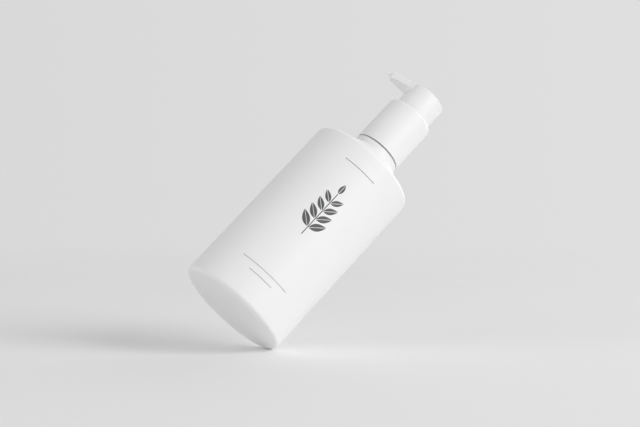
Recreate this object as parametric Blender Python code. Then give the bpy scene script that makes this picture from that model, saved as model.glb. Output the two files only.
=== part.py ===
"""White lotion bottle with a press-down dispensing pump, as separate working pieces.

The bottle stands on the XY plane with its axis on +Z, and its nozzle points along -X.
All lengths are in metres.
"""
import math

import bmesh
import bpy
from mathutils import Matrix, Vector

# Fits shared by all pieces
CLEARANCE = 0.0003
OVERRUN = 0.0010
WELD_DISTANCE = 0.000001

# Facet counts
LARGE_ROUND_STEPS = 48
SMALL_ROUND_STEPS = 24
ARC_STEPS = 4
SHOULDER_STEPS = 5
DISH_STEPS = 4
SMOOTH_ANGLE = math.radians(35.0)

# Bottle body
BODY_RADIUS = 0.0320
BODY_WALL = 0.0012
BODY_SIDE_HEIGHT = 0.1087
BASE_WALL = 0.0016
BASE_EDGE_RADIUS = 0.0018
BASE_INNER_RADIUS = 0.0016
BASE_RING_WIDTH = 0.0065
BASE_DISH_DEPTH = 0.0008
SHOULDER_EDGE_RADIUS = 0.0022
SHOULDER_INNER_EDGE_SHARE = 0.45
SHOULDER_SLOPE = math.radians(22.0)
SHOULDER_RISE = 0.0107
NECK_BAND_HEIGHT = 0.0038
NECK_BAND_EDGE = 0.0002

# Neck and its thread
NECK_HEIGHT = 0.0154
NECK_WALL = 0.0020
NECK_RIM_CHAMFER = 0.0004
THREAD_PITCH = 0.003175
THREAD_DEPTH = 0.00105
THREAD_BURY = 0.0004
THREAD_TOP_INSET = 0.0020
THREAD_ROOT_SHARE = 0.52
THREAD_CREST_SHARE = 0.28
THREAD_END_SHARE = 0.5
BOTTLE_THREAD_TURNS = 1.5
CLOSURE_THREAD_TURNS = 1.25

# Closure and collar sleeve
CLOSURE_WALL = 0.00075
CLOSURE_WEB = 0.0012
SLEEVE_WALL = 0.00082
SLEEVE_EDGE_RADIUS = 0.0015
SLEEVE_RIM_THICKNESS = 0.0012
SLEEVE_RIM_OVERHANG = 0.00153
SLEEVE_RIB_COUNT = 6
SLEEVE_RIB_WIDTH = 0.0010
SLEEVE_RIB_SHARE = 0.8

# Gasket, housing and guide
GASKET_THICKNESS = 0.0010
FLANGE_THICKNESS = 0.0012
BARREL_WALL = 0.0010
BARREL_SPACE = 0.0020
VENT_RADIUS = 0.0005
VENT_DROP = 0.0030
GUIDE_FLANGE_THICKNESS = 0.0010
GUIDE_FLANGE_LAP = 0.0015
GUIDE_BOSS_HEIGHT = 0.0017
GUIDE_BOSS_WALL = 0.0021
GUIDE_WEB = 0.0024
GUIDE_WALL = 0.0009

# Stem, plug and piston
STROKE = 0.0090
FLOW_BORE_RADIUS = 0.0009
PLUG_WALL = 0.0007
PLUG_SPIGOT_LENGTH = 0.0040
PLUG_NECK_HEIGHT = 0.0024
PLUG_SEAT_THICKNESS = 0.0016
PLUG_SEAT_GAP = 0.0009
PLUG_FOOT_LENGTH = 0.0030
PLUG_PORT_RADIUS = 0.0005
PLUG_PORT_SHARE = 0.4
STEM_WALL = 0.0013
STEM_COLLAR_HEIGHT = 0.0041
PISTON_THICKNESS = 0.0021
PISTON_HEIGHT = 0.0065
PISTON_SLIP = 0.0012
PISTON_SLEEVE_SHARE = 0.36
PISTON_LIP_SHARE = 0.24
PISTON_WEB_LOW_SHARE = 0.38
PISTON_WEB_HIGH_SHARE = 0.62
PISTON_LIP_INSET_SHARE = 0.06

# Spring, ball valve and dip tube
SPRING_WIRE_RADIUS = 0.00045
SPRING_TURNS = 7
SPRING_END_TURNS = 1
SPRING_POINTS_PER_TURN = 10
SPRING_END_GAP = 0.0006
SPRING_SPARE_TRAVEL = 0.0008
SPRING_BEVEL_RESOLUTION = 1
CAGE_PLATE = 0.0014
CAGE_BOSS_HEIGHT = 0.0010
CAGE_HOLE_COUNT = 4
CAGE_HOLE_RADIUS = 0.0007
CAGE_HOLE_SHARE = 0.62
BALL_RADIUS = 0.0022
BALL_LIFT = 0.0015
BALL_SIDE_GAP = 0.0006
BALL_SEGMENTS = 16
BALL_RINGS = 8
INLET_RADIUS = 0.0014
SEAT_ANGLE = math.radians(45.0)
SOCKET_WALL = 0.0011
SOCKET_DEPTH = 0.0090
SOCKET_LEDGE = 0.0012
TUBE_WALL = 0.00075
TUBE_RADIUS = 0.0025
TUBE_FLOOR_GAP = 0.0030
TUBE_CUT_SLOPE = math.tan(math.radians(40.0))

# Push head and nozzle
HEAD_GAP = 0.00045
HEAD_WALL = 0.0011
HEAD_TOP_THICKNESS = 0.0013
HEAD_EDGE_RADIUS = 0.0005
HEAD_SOCKET_WALL = 0.0012
SKIRT_END_GAP = 0.0006
SKIRT_COVER = 0.0020
NOZZLE_PARK_GAP = 0.00085
NOZZLE_THICKNESS = 0.00388
NOZZLE_REACH_BEYOND_HEAD = 0.01318
NOZZLE_TIP_HALF_WIDTH = 0.0026
NOZZLE_TAPER = math.radians(18.0)
NOZZLE_ROOT_SHARE = 0.7
NOZZLE_TIP_CORNER = 0.0008
NOZZLE_FLOOR = 0.0005
SPOUT_BORE_RADIUS = 0.0006
SPOUT_WALL = 0.00035
SPOUT_DEPTH = 0.0080
SPOUT_PROUD = 0.0016
DUCT_WALL = 0.00065

# Radii, outwards from the flow bore
PLUG_SPIGOT_RADIUS = FLOW_BORE_RADIUS + PLUG_WALL
STEM_BORE = PLUG_SPIGOT_RADIUS + CLEARANCE
STEM_RADIUS = STEM_BORE + STEM_WALL
STEM_HOLE = STEM_RADIUS + CLEARANCE
PISTON_RADIUS = STEM_HOLE + PISTON_THICKNESS
BARREL_BORE = PISTON_RADIUS + CLEARANCE
BARREL_RADIUS = BARREL_BORE + BARREL_WALL
NECK_BORE = BARREL_RADIUS + BARREL_SPACE
NECK_RADIUS = NECK_BORE + NECK_WALL
CLOSURE_BORE = NECK_RADIUS + THREAD_DEPTH + CLEARANCE
CLOSURE_RADIUS = CLOSURE_BORE + CLOSURE_WALL
SLEEVE_BORE = CLOSURE_RADIUS + CLEARANCE
COLLAR_RADIUS = SLEEVE_BORE + SLEEVE_WALL
RIM_HOLE_RADIUS = SLEEVE_BORE - SLEEVE_RIM_OVERHANG
HEAD_RADIUS = RIM_HOLE_RADIUS - HEAD_GAP
HEAD_BORE = HEAD_RADIUS - HEAD_WALL
HEAD_SOCKET_RADIUS = STEM_HOLE + HEAD_SOCKET_WALL
GUIDE_FLANGE_RADIUS = BARREL_RADIUS + GUIDE_FLANGE_LAP
GUIDE_HOLLOW = BARREL_BORE - CLEARANCE - GUIDE_WALL
STEM_COLLAR_RADIUS = GUIDE_HOLLOW - CLEARANCE
PLUG_SEAT_RADIUS = BARREL_BORE - PLUG_SEAT_GAP
SPRING_MEAN_RADIUS = PLUG_SEAT_RADIUS - SPRING_WIRE_RADIUS
SPRING_CORE_RADIUS = SPRING_MEAN_RADIUS - SPRING_WIRE_RADIUS - CLEARANCE
BALL_CHAMBER_RADIUS = BALL_RADIUS + BALL_SIDE_GAP
SOCKET_BORE = TUBE_RADIUS + CLEARANCE
SOCKET_RADIUS = SOCKET_BORE + SOCKET_WALL
SPOUT_RADIUS = SPOUT_BORE_RADIUS + SPOUT_WALL
CHANNEL_RADIUS = SPOUT_RADIUS + CLEARANCE

# Heights, upwards from the ground to the collar
BAND_BASE_Z = BODY_SIDE_HEIGHT + SHOULDER_RISE
BAND_TOP_Z = BAND_BASE_Z + NECK_BAND_HEIGHT
COLLAR_BASE_Z = BAND_TOP_Z + CLEARANCE
NECK_TOP_Z = BAND_TOP_Z + NECK_HEIGHT
THREAD_START_Z = NECK_TOP_Z - THREAD_TOP_INSET - BOTTLE_THREAD_TURNS * THREAD_PITCH
GASKET_BASE_Z = NECK_TOP_Z + CLEARANCE
FLANGE_BASE_Z = GASKET_BASE_Z + GASKET_THICKNESS + CLEARANCE
FLANGE_TOP_Z = FLANGE_BASE_Z + FLANGE_THICKNESS
GUIDE_BASE_Z = FLANGE_TOP_Z + CLEARANCE
GUIDE_FLANGE_TOP_Z = GUIDE_BASE_Z + GUIDE_FLANGE_THICKNESS
GUIDE_TOP_Z = GUIDE_FLANGE_TOP_Z + GUIDE_BOSS_HEIGHT
CLOSURE_WEB_BASE_Z = FLANGE_TOP_Z + CLEARANCE
CLOSURE_TOP_Z = CLOSURE_WEB_BASE_Z + CLOSURE_WEB
SKIRT_BASE_Z = CLOSURE_TOP_Z + STROKE + SKIRT_END_GAP
COLLAR_TOP_Z = SKIRT_BASE_Z + SKIRT_COVER

# Heights of the push head
NOZZLE_BASE_Z = COLLAR_TOP_Z + STROKE + NOZZLE_PARK_GAP
HEAD_TOP_Z = NOZZLE_BASE_Z + NOZZLE_THICKNESS
HEAD_CEILING_Z = HEAD_TOP_Z - HEAD_TOP_THICKNESS
HEAD_SOCKET_BASE_Z = GUIDE_TOP_Z + STROKE + CLEARANCE
CHANNEL_Z = NOZZLE_BASE_Z + NOZZLE_FLOOR + CHANNEL_RADIUS
NOZZLE_REACH = HEAD_RADIUS + NOZZLE_REACH_BEYOND_HEAD

# Heights inside the pump, downwards from the guide
GUIDE_LEDGE_Z = GUIDE_TOP_Z - GUIDE_WEB
STEM_COLLAR_TOP_Z = GUIDE_LEDGE_Z - CLEARANCE
STEM_COLLAR_BASE_Z = STEM_COLLAR_TOP_Z - STEM_COLLAR_HEIGHT
GUIDE_FOOT_Z = STEM_COLLAR_BASE_Z
STEM_TOP_Z = CHANNEL_Z - CHANNEL_RADIUS - CLEARANCE
PISTON_TOP_Z = STEM_COLLAR_BASE_Z - PISTON_SLIP - CLEARANCE
PISTON_BASE_Z = PISTON_TOP_Z - PISTON_HEIGHT
PLUG_SEAT_TOP_Z = PISTON_BASE_Z - CLEARANCE
PLUG_SEAT_BASE_Z = PLUG_SEAT_TOP_Z - PLUG_SEAT_THICKNESS
PLUG_FOOT_Z = PLUG_SEAT_BASE_Z - PLUG_FOOT_LENGTH
PLUG_NECK_TOP_Z = PLUG_SEAT_TOP_Z + PLUG_NECK_HEIGHT
PLUG_TOP_Z = PLUG_NECK_TOP_Z + PLUG_SPIGOT_LENGTH
PLUG_PORT_Z = PLUG_SEAT_TOP_Z + PLUG_NECK_HEIGHT * PLUG_PORT_SHARE
STEM_FOOT_Z = PLUG_NECK_TOP_Z + CLEARANCE
SPRING_TOP_Z = PLUG_SEAT_BASE_Z - CLEARANCE
SPRING_CLOSED_HEIGHT = (SPRING_TURNS + 1) * 2 * SPRING_WIRE_RADIUS
SPRING_HEIGHT = STROKE + SPRING_CLOSED_HEIGHT + SPRING_SPARE_TRAVEL
SPRING_BASE_Z = SPRING_TOP_Z - SPRING_HEIGHT
CAGE_TOP_Z = SPRING_BASE_Z - CLEARANCE
CAGE_BASE_Z = CAGE_TOP_Z - CAGE_PLATE
BARREL_FLOOR_Z = CAGE_BASE_Z - CLEARANCE
BALL_Z = CAGE_BASE_Z - BALL_LIFT - CLEARANCE - BALL_RADIUS
SEAT_APEX_Z = BALL_Z - (BALL_RADIUS + CLEARANCE) / math.sin(SEAT_ANGLE)
SEAT_BASE_Z = SEAT_APEX_Z + INLET_RADIUS / math.tan(SEAT_ANGLE)
SEAT_TOP_Z = SEAT_APEX_Z + BALL_CHAMBER_RADIUS / math.tan(SEAT_ANGLE)
SOCKET_LEDGE_Z = SEAT_BASE_Z - SOCKET_LEDGE
SOCKET_BASE_Z = SOCKET_LEDGE_Z - SOCKET_DEPTH
TUBE_TOP_Z = SOCKET_LEDGE_Z - CLEARANCE
TUBE_BASE_Z = BASE_WALL + BASE_DISH_DEPTH + TUBE_FLOOR_GAP

# Finishes
WHITE = (0.86, 0.86, 0.86, 1.0)
NATURAL_WHITE = (0.78, 0.79, 0.78, 1.0)
GASKET_GREY = (0.55, 0.56, 0.57, 1.0)
STEEL = (0.62, 0.63, 0.64, 1.0)
SATIN = 0.42
SMOOTH = 0.30
POLISHED = 0.22


def plain_material(name, colour, roughness, metallic=0.0):
    """Make one Principled material."""
    material = bpy.data.materials.new(name)
    material.use_nodes = True
    shader = material.node_tree.nodes["Principled BSDF"]
    shader.inputs["Base Color"].default_value = colour
    shader.inputs["Roughness"].default_value = roughness
    shader.inputs["Metallic"].default_value = metallic
    material.diffuse_color = colour
    return material


def axis_empty(name, parent=None):
    """Add an empty on the bottle's axis, to carry the pieces of one moving group."""
    empty = bpy.data.objects.new(name, None)
    bpy.context.collection.objects.link(empty)
    empty.parent = parent
    return empty


def mesh_object(name, bm, parent, seat_z=0.0):
    """Turn a bmesh into an object whose origin is on the axis at the piece's seat."""
    bmesh.ops.recalc_face_normals(bm, faces=bm.faces)
    mesh = bpy.data.meshes.new(name)
    bm.to_mesh(mesh)
    bm.free()
    mesh.shade_smooth()
    mesh.set_sharp_from_angle(angle=SMOOTH_ANGLE)
    piece = bpy.data.objects.new(name, mesh)
    bpy.context.collection.objects.link(piece)
    piece.parent = parent
    piece.location.z = seat_z
    return piece


def dress(piece, colour, roughness, metallic=0.0):
    """Give a piece its own material."""
    piece.data.materials.append(plain_material(piece.name + "_finish", colour, roughness, metallic))
    return piece


def arc(centre_r, centre_z, radius, start_degrees, end_degrees, steps=ARC_STEPS):
    """List the points of an arc in the profile plane."""
    start = math.radians(start_degrees)
    sweep = math.radians(end_degrees) - start
    points = []
    for step in range(steps + 1):
        angle = start + sweep * step / steps
        points.append((centre_r + radius * math.cos(angle), centre_z + radius * math.sin(angle)))
    return points


def revolved(profile, steps, seat_z=0.0):
    """Spin a profile of (radius, height) points round the axis.

    A profile that starts and ends on the axis stays open there, and any other is closed to a ring.
    """
    bm = bmesh.new()
    verts = [bm.verts.new((radius, 0, height - seat_z)) for radius, height in profile]
    for first, second in zip(verts, verts[1:]):
        bm.edges.new((first, second))
    if profile[0][0] > 0 or profile[-1][0] > 0:
        bm.edges.new((verts[-1], verts[0]))
    bmesh.ops.spin(
        bm,
        geom=bm.verts[:] + bm.edges[:],
        cent=(0, 0, 0),
        axis=(0, 0, 1),
        angle=math.tau,
        steps=steps,
        use_merge=True,
    )
    bmesh.ops.remove_doubles(bm, verts=bm.verts, dist=WELD_DISTANCE)
    return bm


def turned_piece(name, profile, steps, seat_z, parent):
    """Make a turned piece whose origin lies at its seat on the axis."""
    return mesh_object(name, revolved(profile, steps, seat_z), parent, seat_z)


def tool_object(name, bm, target):
    """Make a hidden shape that a Boolean of the target piece uses."""
    tool = mesh_object(name, bm, target)
    tool.hide_render = True
    tool.display_type = "WIRE"
    return tool


def combine(target, tool, operation):
    """Cut the tool's shape from the target, or join it on."""
    modifier = target.modifiers.new(operation.title() + " " + tool.name, "BOOLEAN")
    modifier.operation = operation
    modifier.solver = "EXACT"
    modifier.object = tool


def cylinder_along(axis, radius, start, end, steps=SMALL_ROUND_STEPS):
    """Make a closed cylinder between two distances along a direction from the origin."""
    bm = bmesh.new()
    turn = Vector((0, 0, 1)).rotation_difference(Vector(axis)).to_matrix().to_4x4()
    middle = Matrix.Translation(Vector(axis) * (start + end) / 2)
    bmesh.ops.create_cone(
        bm,
        cap_ends=True,
        segments=steps,
        radius1=radius,
        radius2=radius,
        depth=end - start,
        matrix=middle @ turn,
    )
    return bm


def thread_ridge(root_radius, crest_radius, start_z, turns):
    """Sweep a trapezoid section up a right-handed helix, with both ends sunk into the wall."""
    bm = bmesh.new()
    root_half = THREAD_PITCH * THREAD_ROOT_SHARE / 2
    crest_half = THREAD_PITCH * THREAD_CREST_SHARE / 2
    section = [
        (root_radius, -root_half),
        (crest_radius, -crest_half),
        (crest_radius, crest_half),
        (root_radius, root_half),
    ]
    verts = [bm.verts.new((radius, 0, start_z + offset)) for radius, offset in section]
    bm.faces.new(verts)
    start_crest = verts[1:3]
    steps = round(LARGE_ROUND_STEPS * turns)
    swept = bmesh.ops.spin(
        bm,
        geom=bm.verts[:] + bm.edges[:] + bm.faces[:],
        cent=(0, 0, 0),
        axis=(0, 0, 1),
        dvec=(0, 0, THREAD_PITCH * turns / steps),
        angle=math.tau * turns,
        steps=steps,
    )
    last = [item for item in swept["geom_last"] if isinstance(item, bmesh.types.BMVert)]
    end_crest = [vert for vert in last if abs(vert.co.xy.length - crest_radius) < WELD_DISTANCE]
    bury = (root_radius - crest_radius) / abs(root_radius - crest_radius) * THREAD_BURY
    sunk_radius = root_radius - bury * THREAD_END_SHARE
    for vert in start_crest + end_crest:
        vert.co.xy *= sunk_radius / crest_radius
    return bm


def dish_points(base_z, start_r, end_r):
    """List the points of the shallow dish between the axis and the standing ring."""
    edge_r = max(start_r, end_r)
    points = []
    for step in range(DISH_STEPS + 1):
        radius = start_r + (end_r - start_r) * step / DISH_STEPS
        rise = BASE_DISH_DEPTH * (1 + math.cos(math.pi * radius / edge_r)) / 2
        points.append((radius, base_z + rise))
    return points


def shoulder_points(side_r, edge_radius, end_r, end_z):
    """List the points of the shoulder: a rounded edge, then a slope that curves up to the neck."""
    turn = 90 - math.degrees(SHOULDER_SLOPE)
    points = arc(side_r - edge_radius, BODY_SIDE_HEIGHT, edge_radius, 0, turn)
    start_r, start_z = points[-1]
    middle_r = (start_r + end_r) / 2
    middle_z = start_z + (start_r - middle_r) * math.tan(SHOULDER_SLOPE)
    for step in range(1, SHOULDER_STEPS + 1):
        share = step / SHOULDER_STEPS
        near = (1 - share) ** 2
        mid = 2 * share * (1 - share)
        far = share ** 2
        radius = near * start_r + mid * middle_r + far * end_r
        points.append((radius, near * start_z + mid * middle_z + far * end_z))
    return points


def make_bottle(parent):
    """Blow-moulded shell with its standing ring, shoulder, neck band and threaded neck."""
    ring_r = BODY_RADIUS - BASE_EDGE_RADIUS
    dish_r = ring_r - BASE_RING_WIDTH
    inner_r = BODY_RADIUS - BODY_WALL
    floor_r = inner_r - BASE_INNER_RADIUS
    profile = dish_points(0, 0, dish_r)
    profile += arc(ring_r, BASE_EDGE_RADIUS, BASE_EDGE_RADIUS, -90, 0)
    profile += shoulder_points(BODY_RADIUS, SHOULDER_EDGE_RADIUS, COLLAR_RADIUS, BAND_BASE_Z)
    profile += [
        (COLLAR_RADIUS, BAND_TOP_Z - NECK_BAND_EDGE),
        (COLLAR_RADIUS - NECK_BAND_EDGE, BAND_TOP_Z),
        (NECK_RADIUS, BAND_TOP_Z),
        (NECK_RADIUS, NECK_TOP_Z - NECK_RIM_CHAMFER),
        (NECK_RADIUS - NECK_RIM_CHAMFER, NECK_TOP_Z),
        (NECK_BORE, NECK_TOP_Z),
    ]
    inner_edge = SHOULDER_EDGE_RADIUS * SHOULDER_INNER_EDGE_SHARE
    profile += reversed(shoulder_points(inner_r, inner_edge, NECK_BORE, BAND_BASE_Z + BODY_WALL))
    profile += arc(floor_r, BASE_WALL + BASE_INNER_RADIUS, BASE_INNER_RADIUS, 0, -90)
    profile += dish_points(BASE_WALL, dish_r, 0)
    bottle = turned_piece("bottle", profile, LARGE_ROUND_STEPS, 0, parent)
    root = NECK_RADIUS - THREAD_BURY
    crest = NECK_RADIUS + THREAD_DEPTH
    ridge = thread_ridge(root, crest, THREAD_START_Z, BOTTLE_THREAD_TURNS)
    combine(bottle, tool_object("neck_thread_tool", ridge, bottle), "UNION")
    return dress(bottle, WHITE, SATIN)


def make_neck_gasket(parent):
    """Flat washer between the neck's rim and the pump's flange."""
    inner_r = BARREL_RADIUS + CLEARANCE
    top_z = GASKET_BASE_Z + GASKET_THICKNESS
    profile = [
        (inner_r, GASKET_BASE_Z),
        (NECK_RADIUS, GASKET_BASE_Z),
        (NECK_RADIUS, top_z),
        (inner_r, top_z),
    ]
    gasket = turned_piece("neck_gasket", profile, LARGE_ROUND_STEPS, GASKET_BASE_Z, parent)
    return dress(gasket, GASKET_GREY, SATIN)


def make_closure(parent):
    """Threaded cap whose web clamps the pump's flange on the neck."""
    hole_r = GUIDE_FLANGE_RADIUS + CLEARANCE
    profile = [
        (CLOSURE_BORE, COLLAR_BASE_Z),
        (CLOSURE_RADIUS, COLLAR_BASE_Z),
        (CLOSURE_RADIUS, CLOSURE_TOP_Z),
        (hole_r, CLOSURE_TOP_Z),
        (hole_r, CLOSURE_WEB_BASE_Z),
        (CLOSURE_BORE, CLOSURE_WEB_BASE_Z),
    ]
    closure = turned_piece("closure", profile, LARGE_ROUND_STEPS, COLLAR_BASE_Z, parent)
    root = CLOSURE_BORE + THREAD_BURY
    crest = CLOSURE_BORE - THREAD_DEPTH
    start_z = THREAD_START_Z - THREAD_PITCH / 2 - COLLAR_BASE_Z
    ridge = thread_ridge(root, crest, start_z, CLOSURE_THREAD_TURNS)
    combine(closure, tool_object("closure_thread_tool", ridge, closure), "UNION")
    return dress(closure, NATURAL_WHITE, SATIN)


def make_collar_sleeve(parent):
    """Tall smooth sleeve over the closure, with a rim round the head and ribs that seat it."""
    under_rim_z = COLLAR_TOP_Z - SLEEVE_RIM_THICKNESS
    profile = [(SLEEVE_BORE, COLLAR_BASE_Z), (COLLAR_RADIUS, COLLAR_BASE_Z)]
    edge_r = COLLAR_RADIUS - SLEEVE_EDGE_RADIUS
    profile += arc(edge_r, COLLAR_TOP_Z - SLEEVE_EDGE_RADIUS, SLEEVE_EDGE_RADIUS, 0, 90)
    profile += [
        (RIM_HOLE_RADIUS, COLLAR_TOP_Z),
        (RIM_HOLE_RADIUS, under_rim_z),
        (SLEEVE_BORE, under_rim_z),
    ]
    sleeve = turned_piece("collar_sleeve", profile, LARGE_ROUND_STEPS, COLLAR_BASE_Z, parent)
    inner_r = SLEEVE_BORE - SLEEVE_RIM_OVERHANG * SLEEVE_RIB_SHARE
    outer_r = SLEEVE_BORE + SLEEVE_WALL / 2
    base_z = CLOSURE_TOP_Z + CLEARANCE - COLLAR_BASE_Z
    top_z = under_rim_z + SLEEVE_RIM_THICKNESS / 2 - COLLAR_BASE_Z
    size = Vector((outer_r - inner_r, SLEEVE_RIB_WIDTH, top_z - base_z))
    place = Vector(((inner_r + outer_r) / 2, 0, (base_z + top_z) / 2))
    bm = bmesh.new()
    for rib in range(SLEEVE_RIB_COUNT):
        turn = Matrix.Rotation(math.tau * rib / SLEEVE_RIB_COUNT, 4, "Z")
        box = turn @ Matrix.Translation(place) @ Matrix.Diagonal(size.to_4d())
        bmesh.ops.create_cube(bm, size=1, matrix=box)
    combine(sleeve, tool_object("sleeve_rib_tool", bm, sleeve), "UNION")
    return dress(sleeve, WHITE, SATIN)


def make_pump_housing(parent):
    """Pump barrel that hangs in the neck, with its flange, ball seat and tube socket."""
    profile = [
        (BARREL_BORE, FLANGE_TOP_Z),
        (NECK_RADIUS, FLANGE_TOP_Z),
        (NECK_RADIUS, FLANGE_BASE_Z),
        (BARREL_RADIUS, FLANGE_BASE_Z),
        (BARREL_RADIUS, BARREL_FLOOR_Z),
        (SOCKET_RADIUS, BARREL_FLOOR_Z - BARREL_RADIUS + SOCKET_RADIUS),
        (SOCKET_RADIUS, SOCKET_BASE_Z),
        (SOCKET_BORE, SOCKET_BASE_Z),
        (SOCKET_BORE, SOCKET_LEDGE_Z),
        (INLET_RADIUS, SOCKET_LEDGE_Z),
        (INLET_RADIUS, SEAT_BASE_Z),
        (BALL_CHAMBER_RADIUS, SEAT_TOP_Z),
        (BALL_CHAMBER_RADIUS, BARREL_FLOOR_Z),
        (BARREL_BORE, BARREL_FLOOR_Z),
    ]
    housing = turned_piece("pump_housing", profile, SMALL_ROUND_STEPS, FLANGE_BASE_Z, parent)
    start = BARREL_BORE - OVERRUN
    vent = cylinder_along((0, 1, 0), VENT_RADIUS, start, BARREL_RADIUS + OVERRUN, SMALL_ROUND_STEPS // 2)
    bmesh.ops.translate(vent, verts=vent.verts, vec=(0, 0, -VENT_DROP))
    combine(housing, tool_object("vent_tool", vent, housing), "DIFFERENCE")
    return dress(housing, NATURAL_WHITE, SMOOTH)


def make_stem_guide(parent):
    """Ring that closes the barrel, stops the stem's collar and guides the stem."""
    boss_r = STEM_HOLE + GUIDE_BOSS_WALL
    sleeve_r = BARREL_BORE - CLEARANCE
    profile = [
        (STEM_HOLE, GUIDE_TOP_Z),
        (boss_r, GUIDE_TOP_Z),
        (boss_r, GUIDE_FLANGE_TOP_Z),
        (GUIDE_FLANGE_RADIUS, GUIDE_FLANGE_TOP_Z),
        (GUIDE_FLANGE_RADIUS, GUIDE_BASE_Z),
        (sleeve_r, GUIDE_BASE_Z),
        (sleeve_r, GUIDE_FOOT_Z),
        (GUIDE_HOLLOW, GUIDE_FOOT_Z),
        (GUIDE_HOLLOW, GUIDE_LEDGE_Z),
        (STEM_HOLE, GUIDE_LEDGE_Z),
    ]
    guide = turned_piece("stem_guide", profile, SMALL_ROUND_STEPS, GUIDE_BASE_Z, parent)
    return dress(guide, NATURAL_WHITE, SMOOTH)


def make_stem(parent):
    """Hollow rod from the piston to the head, with the collar that stops at the guide."""
    profile = [
        (STEM_BORE, STEM_FOOT_Z),
        (STEM_RADIUS, STEM_FOOT_Z),
        (STEM_RADIUS, STEM_COLLAR_BASE_Z),
        (STEM_COLLAR_RADIUS, STEM_COLLAR_BASE_Z),
        (STEM_COLLAR_RADIUS, STEM_COLLAR_TOP_Z),
        (STEM_RADIUS, STEM_COLLAR_TOP_Z),
        (STEM_RADIUS, STEM_TOP_Z),
        (STEM_BORE, STEM_TOP_Z),
    ]
    stem = turned_piece("stem", profile, SMALL_ROUND_STEPS, STEM_FOOT_Z, parent)
    return dress(stem, NATURAL_WHITE, SMOOTH)


def make_stem_plug(parent):
    """Plug in the stem's foot, with the piston's seat, the flow port and the spring spigot."""
    profile = [
        (0, PLUG_SEAT_TOP_Z),
        (FLOW_BORE_RADIUS, PLUG_SEAT_TOP_Z),
        (FLOW_BORE_RADIUS, PLUG_TOP_Z),
        (PLUG_SPIGOT_RADIUS, PLUG_TOP_Z),
        (PLUG_SPIGOT_RADIUS, PLUG_NECK_TOP_Z),
        (STEM_RADIUS, PLUG_NECK_TOP_Z),
        (STEM_RADIUS, PLUG_SEAT_TOP_Z),
        (PLUG_SEAT_RADIUS, PLUG_SEAT_TOP_Z),
        (PLUG_SEAT_RADIUS, PLUG_SEAT_BASE_Z),
        (SPRING_CORE_RADIUS, PLUG_SEAT_BASE_Z),
        (SPRING_CORE_RADIUS, PLUG_FOOT_Z),
        (0, PLUG_FOOT_Z),
    ]
    plug = turned_piece("stem_plug", profile, SMALL_ROUND_STEPS, PLUG_SEAT_TOP_Z, parent)
    reach = STEM_RADIUS + OVERRUN
    port = cylinder_along((0, 1, 0), PLUG_PORT_RADIUS, -reach, reach, SMALL_ROUND_STEPS // 2)
    bmesh.ops.translate(port, verts=port.verts, vec=(0, 0, PLUG_PORT_Z - PLUG_SEAT_TOP_Z))
    combine(plug, tool_object("port_tool", port, plug), "DIFFERENCE")
    return dress(plug, NATURAL_WHITE, SMOOTH)


def make_piston(parent):
    """Soft seal with an upper and a lower lip round a sleeve that slides on the stem."""
    sleeve_r = STEM_HOLE + PISTON_THICKNESS * PISTON_SLEEVE_SHARE
    lip_r = PISTON_RADIUS - PISTON_THICKNESS * PISTON_LIP_SHARE
    web_low_z = PISTON_BASE_Z + PISTON_HEIGHT * PISTON_WEB_LOW_SHARE
    web_high_z = PISTON_BASE_Z + PISTON_HEIGHT * PISTON_WEB_HIGH_SHARE
    inset = PISTON_HEIGHT * PISTON_LIP_INSET_SHARE
    profile = [
        (STEM_HOLE, PISTON_BASE_Z),
        (sleeve_r, PISTON_BASE_Z),
        (sleeve_r, web_low_z),
        (lip_r, web_low_z),
        (PISTON_RADIUS - CLEARANCE, PISTON_BASE_Z + inset),
        (PISTON_RADIUS, PISTON_BASE_Z + inset),
        (lip_r + CLEARANCE, (web_low_z + web_high_z) / 2),
        (PISTON_RADIUS, PISTON_TOP_Z - inset),
        (PISTON_RADIUS - CLEARANCE, PISTON_TOP_Z - inset),
        (lip_r, web_high_z),
        (sleeve_r, web_high_z),
        (sleeve_r, PISTON_TOP_Z),
        (STEM_HOLE, PISTON_TOP_Z),
    ]
    piston = turned_piece("piston", profile, SMALL_ROUND_STEPS, PISTON_BASE_Z, parent)
    return dress(piston, WHITE, SATIN)


def spring_points():
    """List the points of the spring's centre line, with closer turns at both ends."""
    travel = SPRING_HEIGHT - 2 * SPRING_WIRE_RADIUS
    end_pitch = 2 * SPRING_WIRE_RADIUS + SPRING_END_GAP
    end_rise = end_pitch * SPRING_END_TURNS
    middle_turns = SPRING_TURNS - 2 * SPRING_END_TURNS
    middle_pitch = (travel - 2 * end_rise) / middle_turns
    points = []
    for step in range(SPRING_TURNS * SPRING_POINTS_PER_TURN + 1):
        turn = step / SPRING_POINTS_PER_TURN
        lower = min(turn, SPRING_END_TURNS)
        upper = max(turn - SPRING_END_TURNS - middle_turns, 0)
        middle = turn - lower - upper
        height = SPRING_WIRE_RADIUS + (lower + upper) * end_pitch + middle * middle_pitch
        angle = math.tau * turn
        points.append(
            Vector((SPRING_MEAN_RADIUS * math.cos(angle), SPRING_MEAN_RADIUS * math.sin(angle), height))
        )
    return points


def print_least_gap(points):
    """Print how near the spring's turns come to each other, surface to surface."""
    least = min(
        (first - second).length
        for index, first in enumerate(points)
        for second in points[index + SPRING_POINTS_PER_TURN // 2:]
    )
    print("least gap between the spring's turns, mm:", round((least - 2 * SPRING_WIRE_RADIUS) * 1000, 3))


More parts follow.
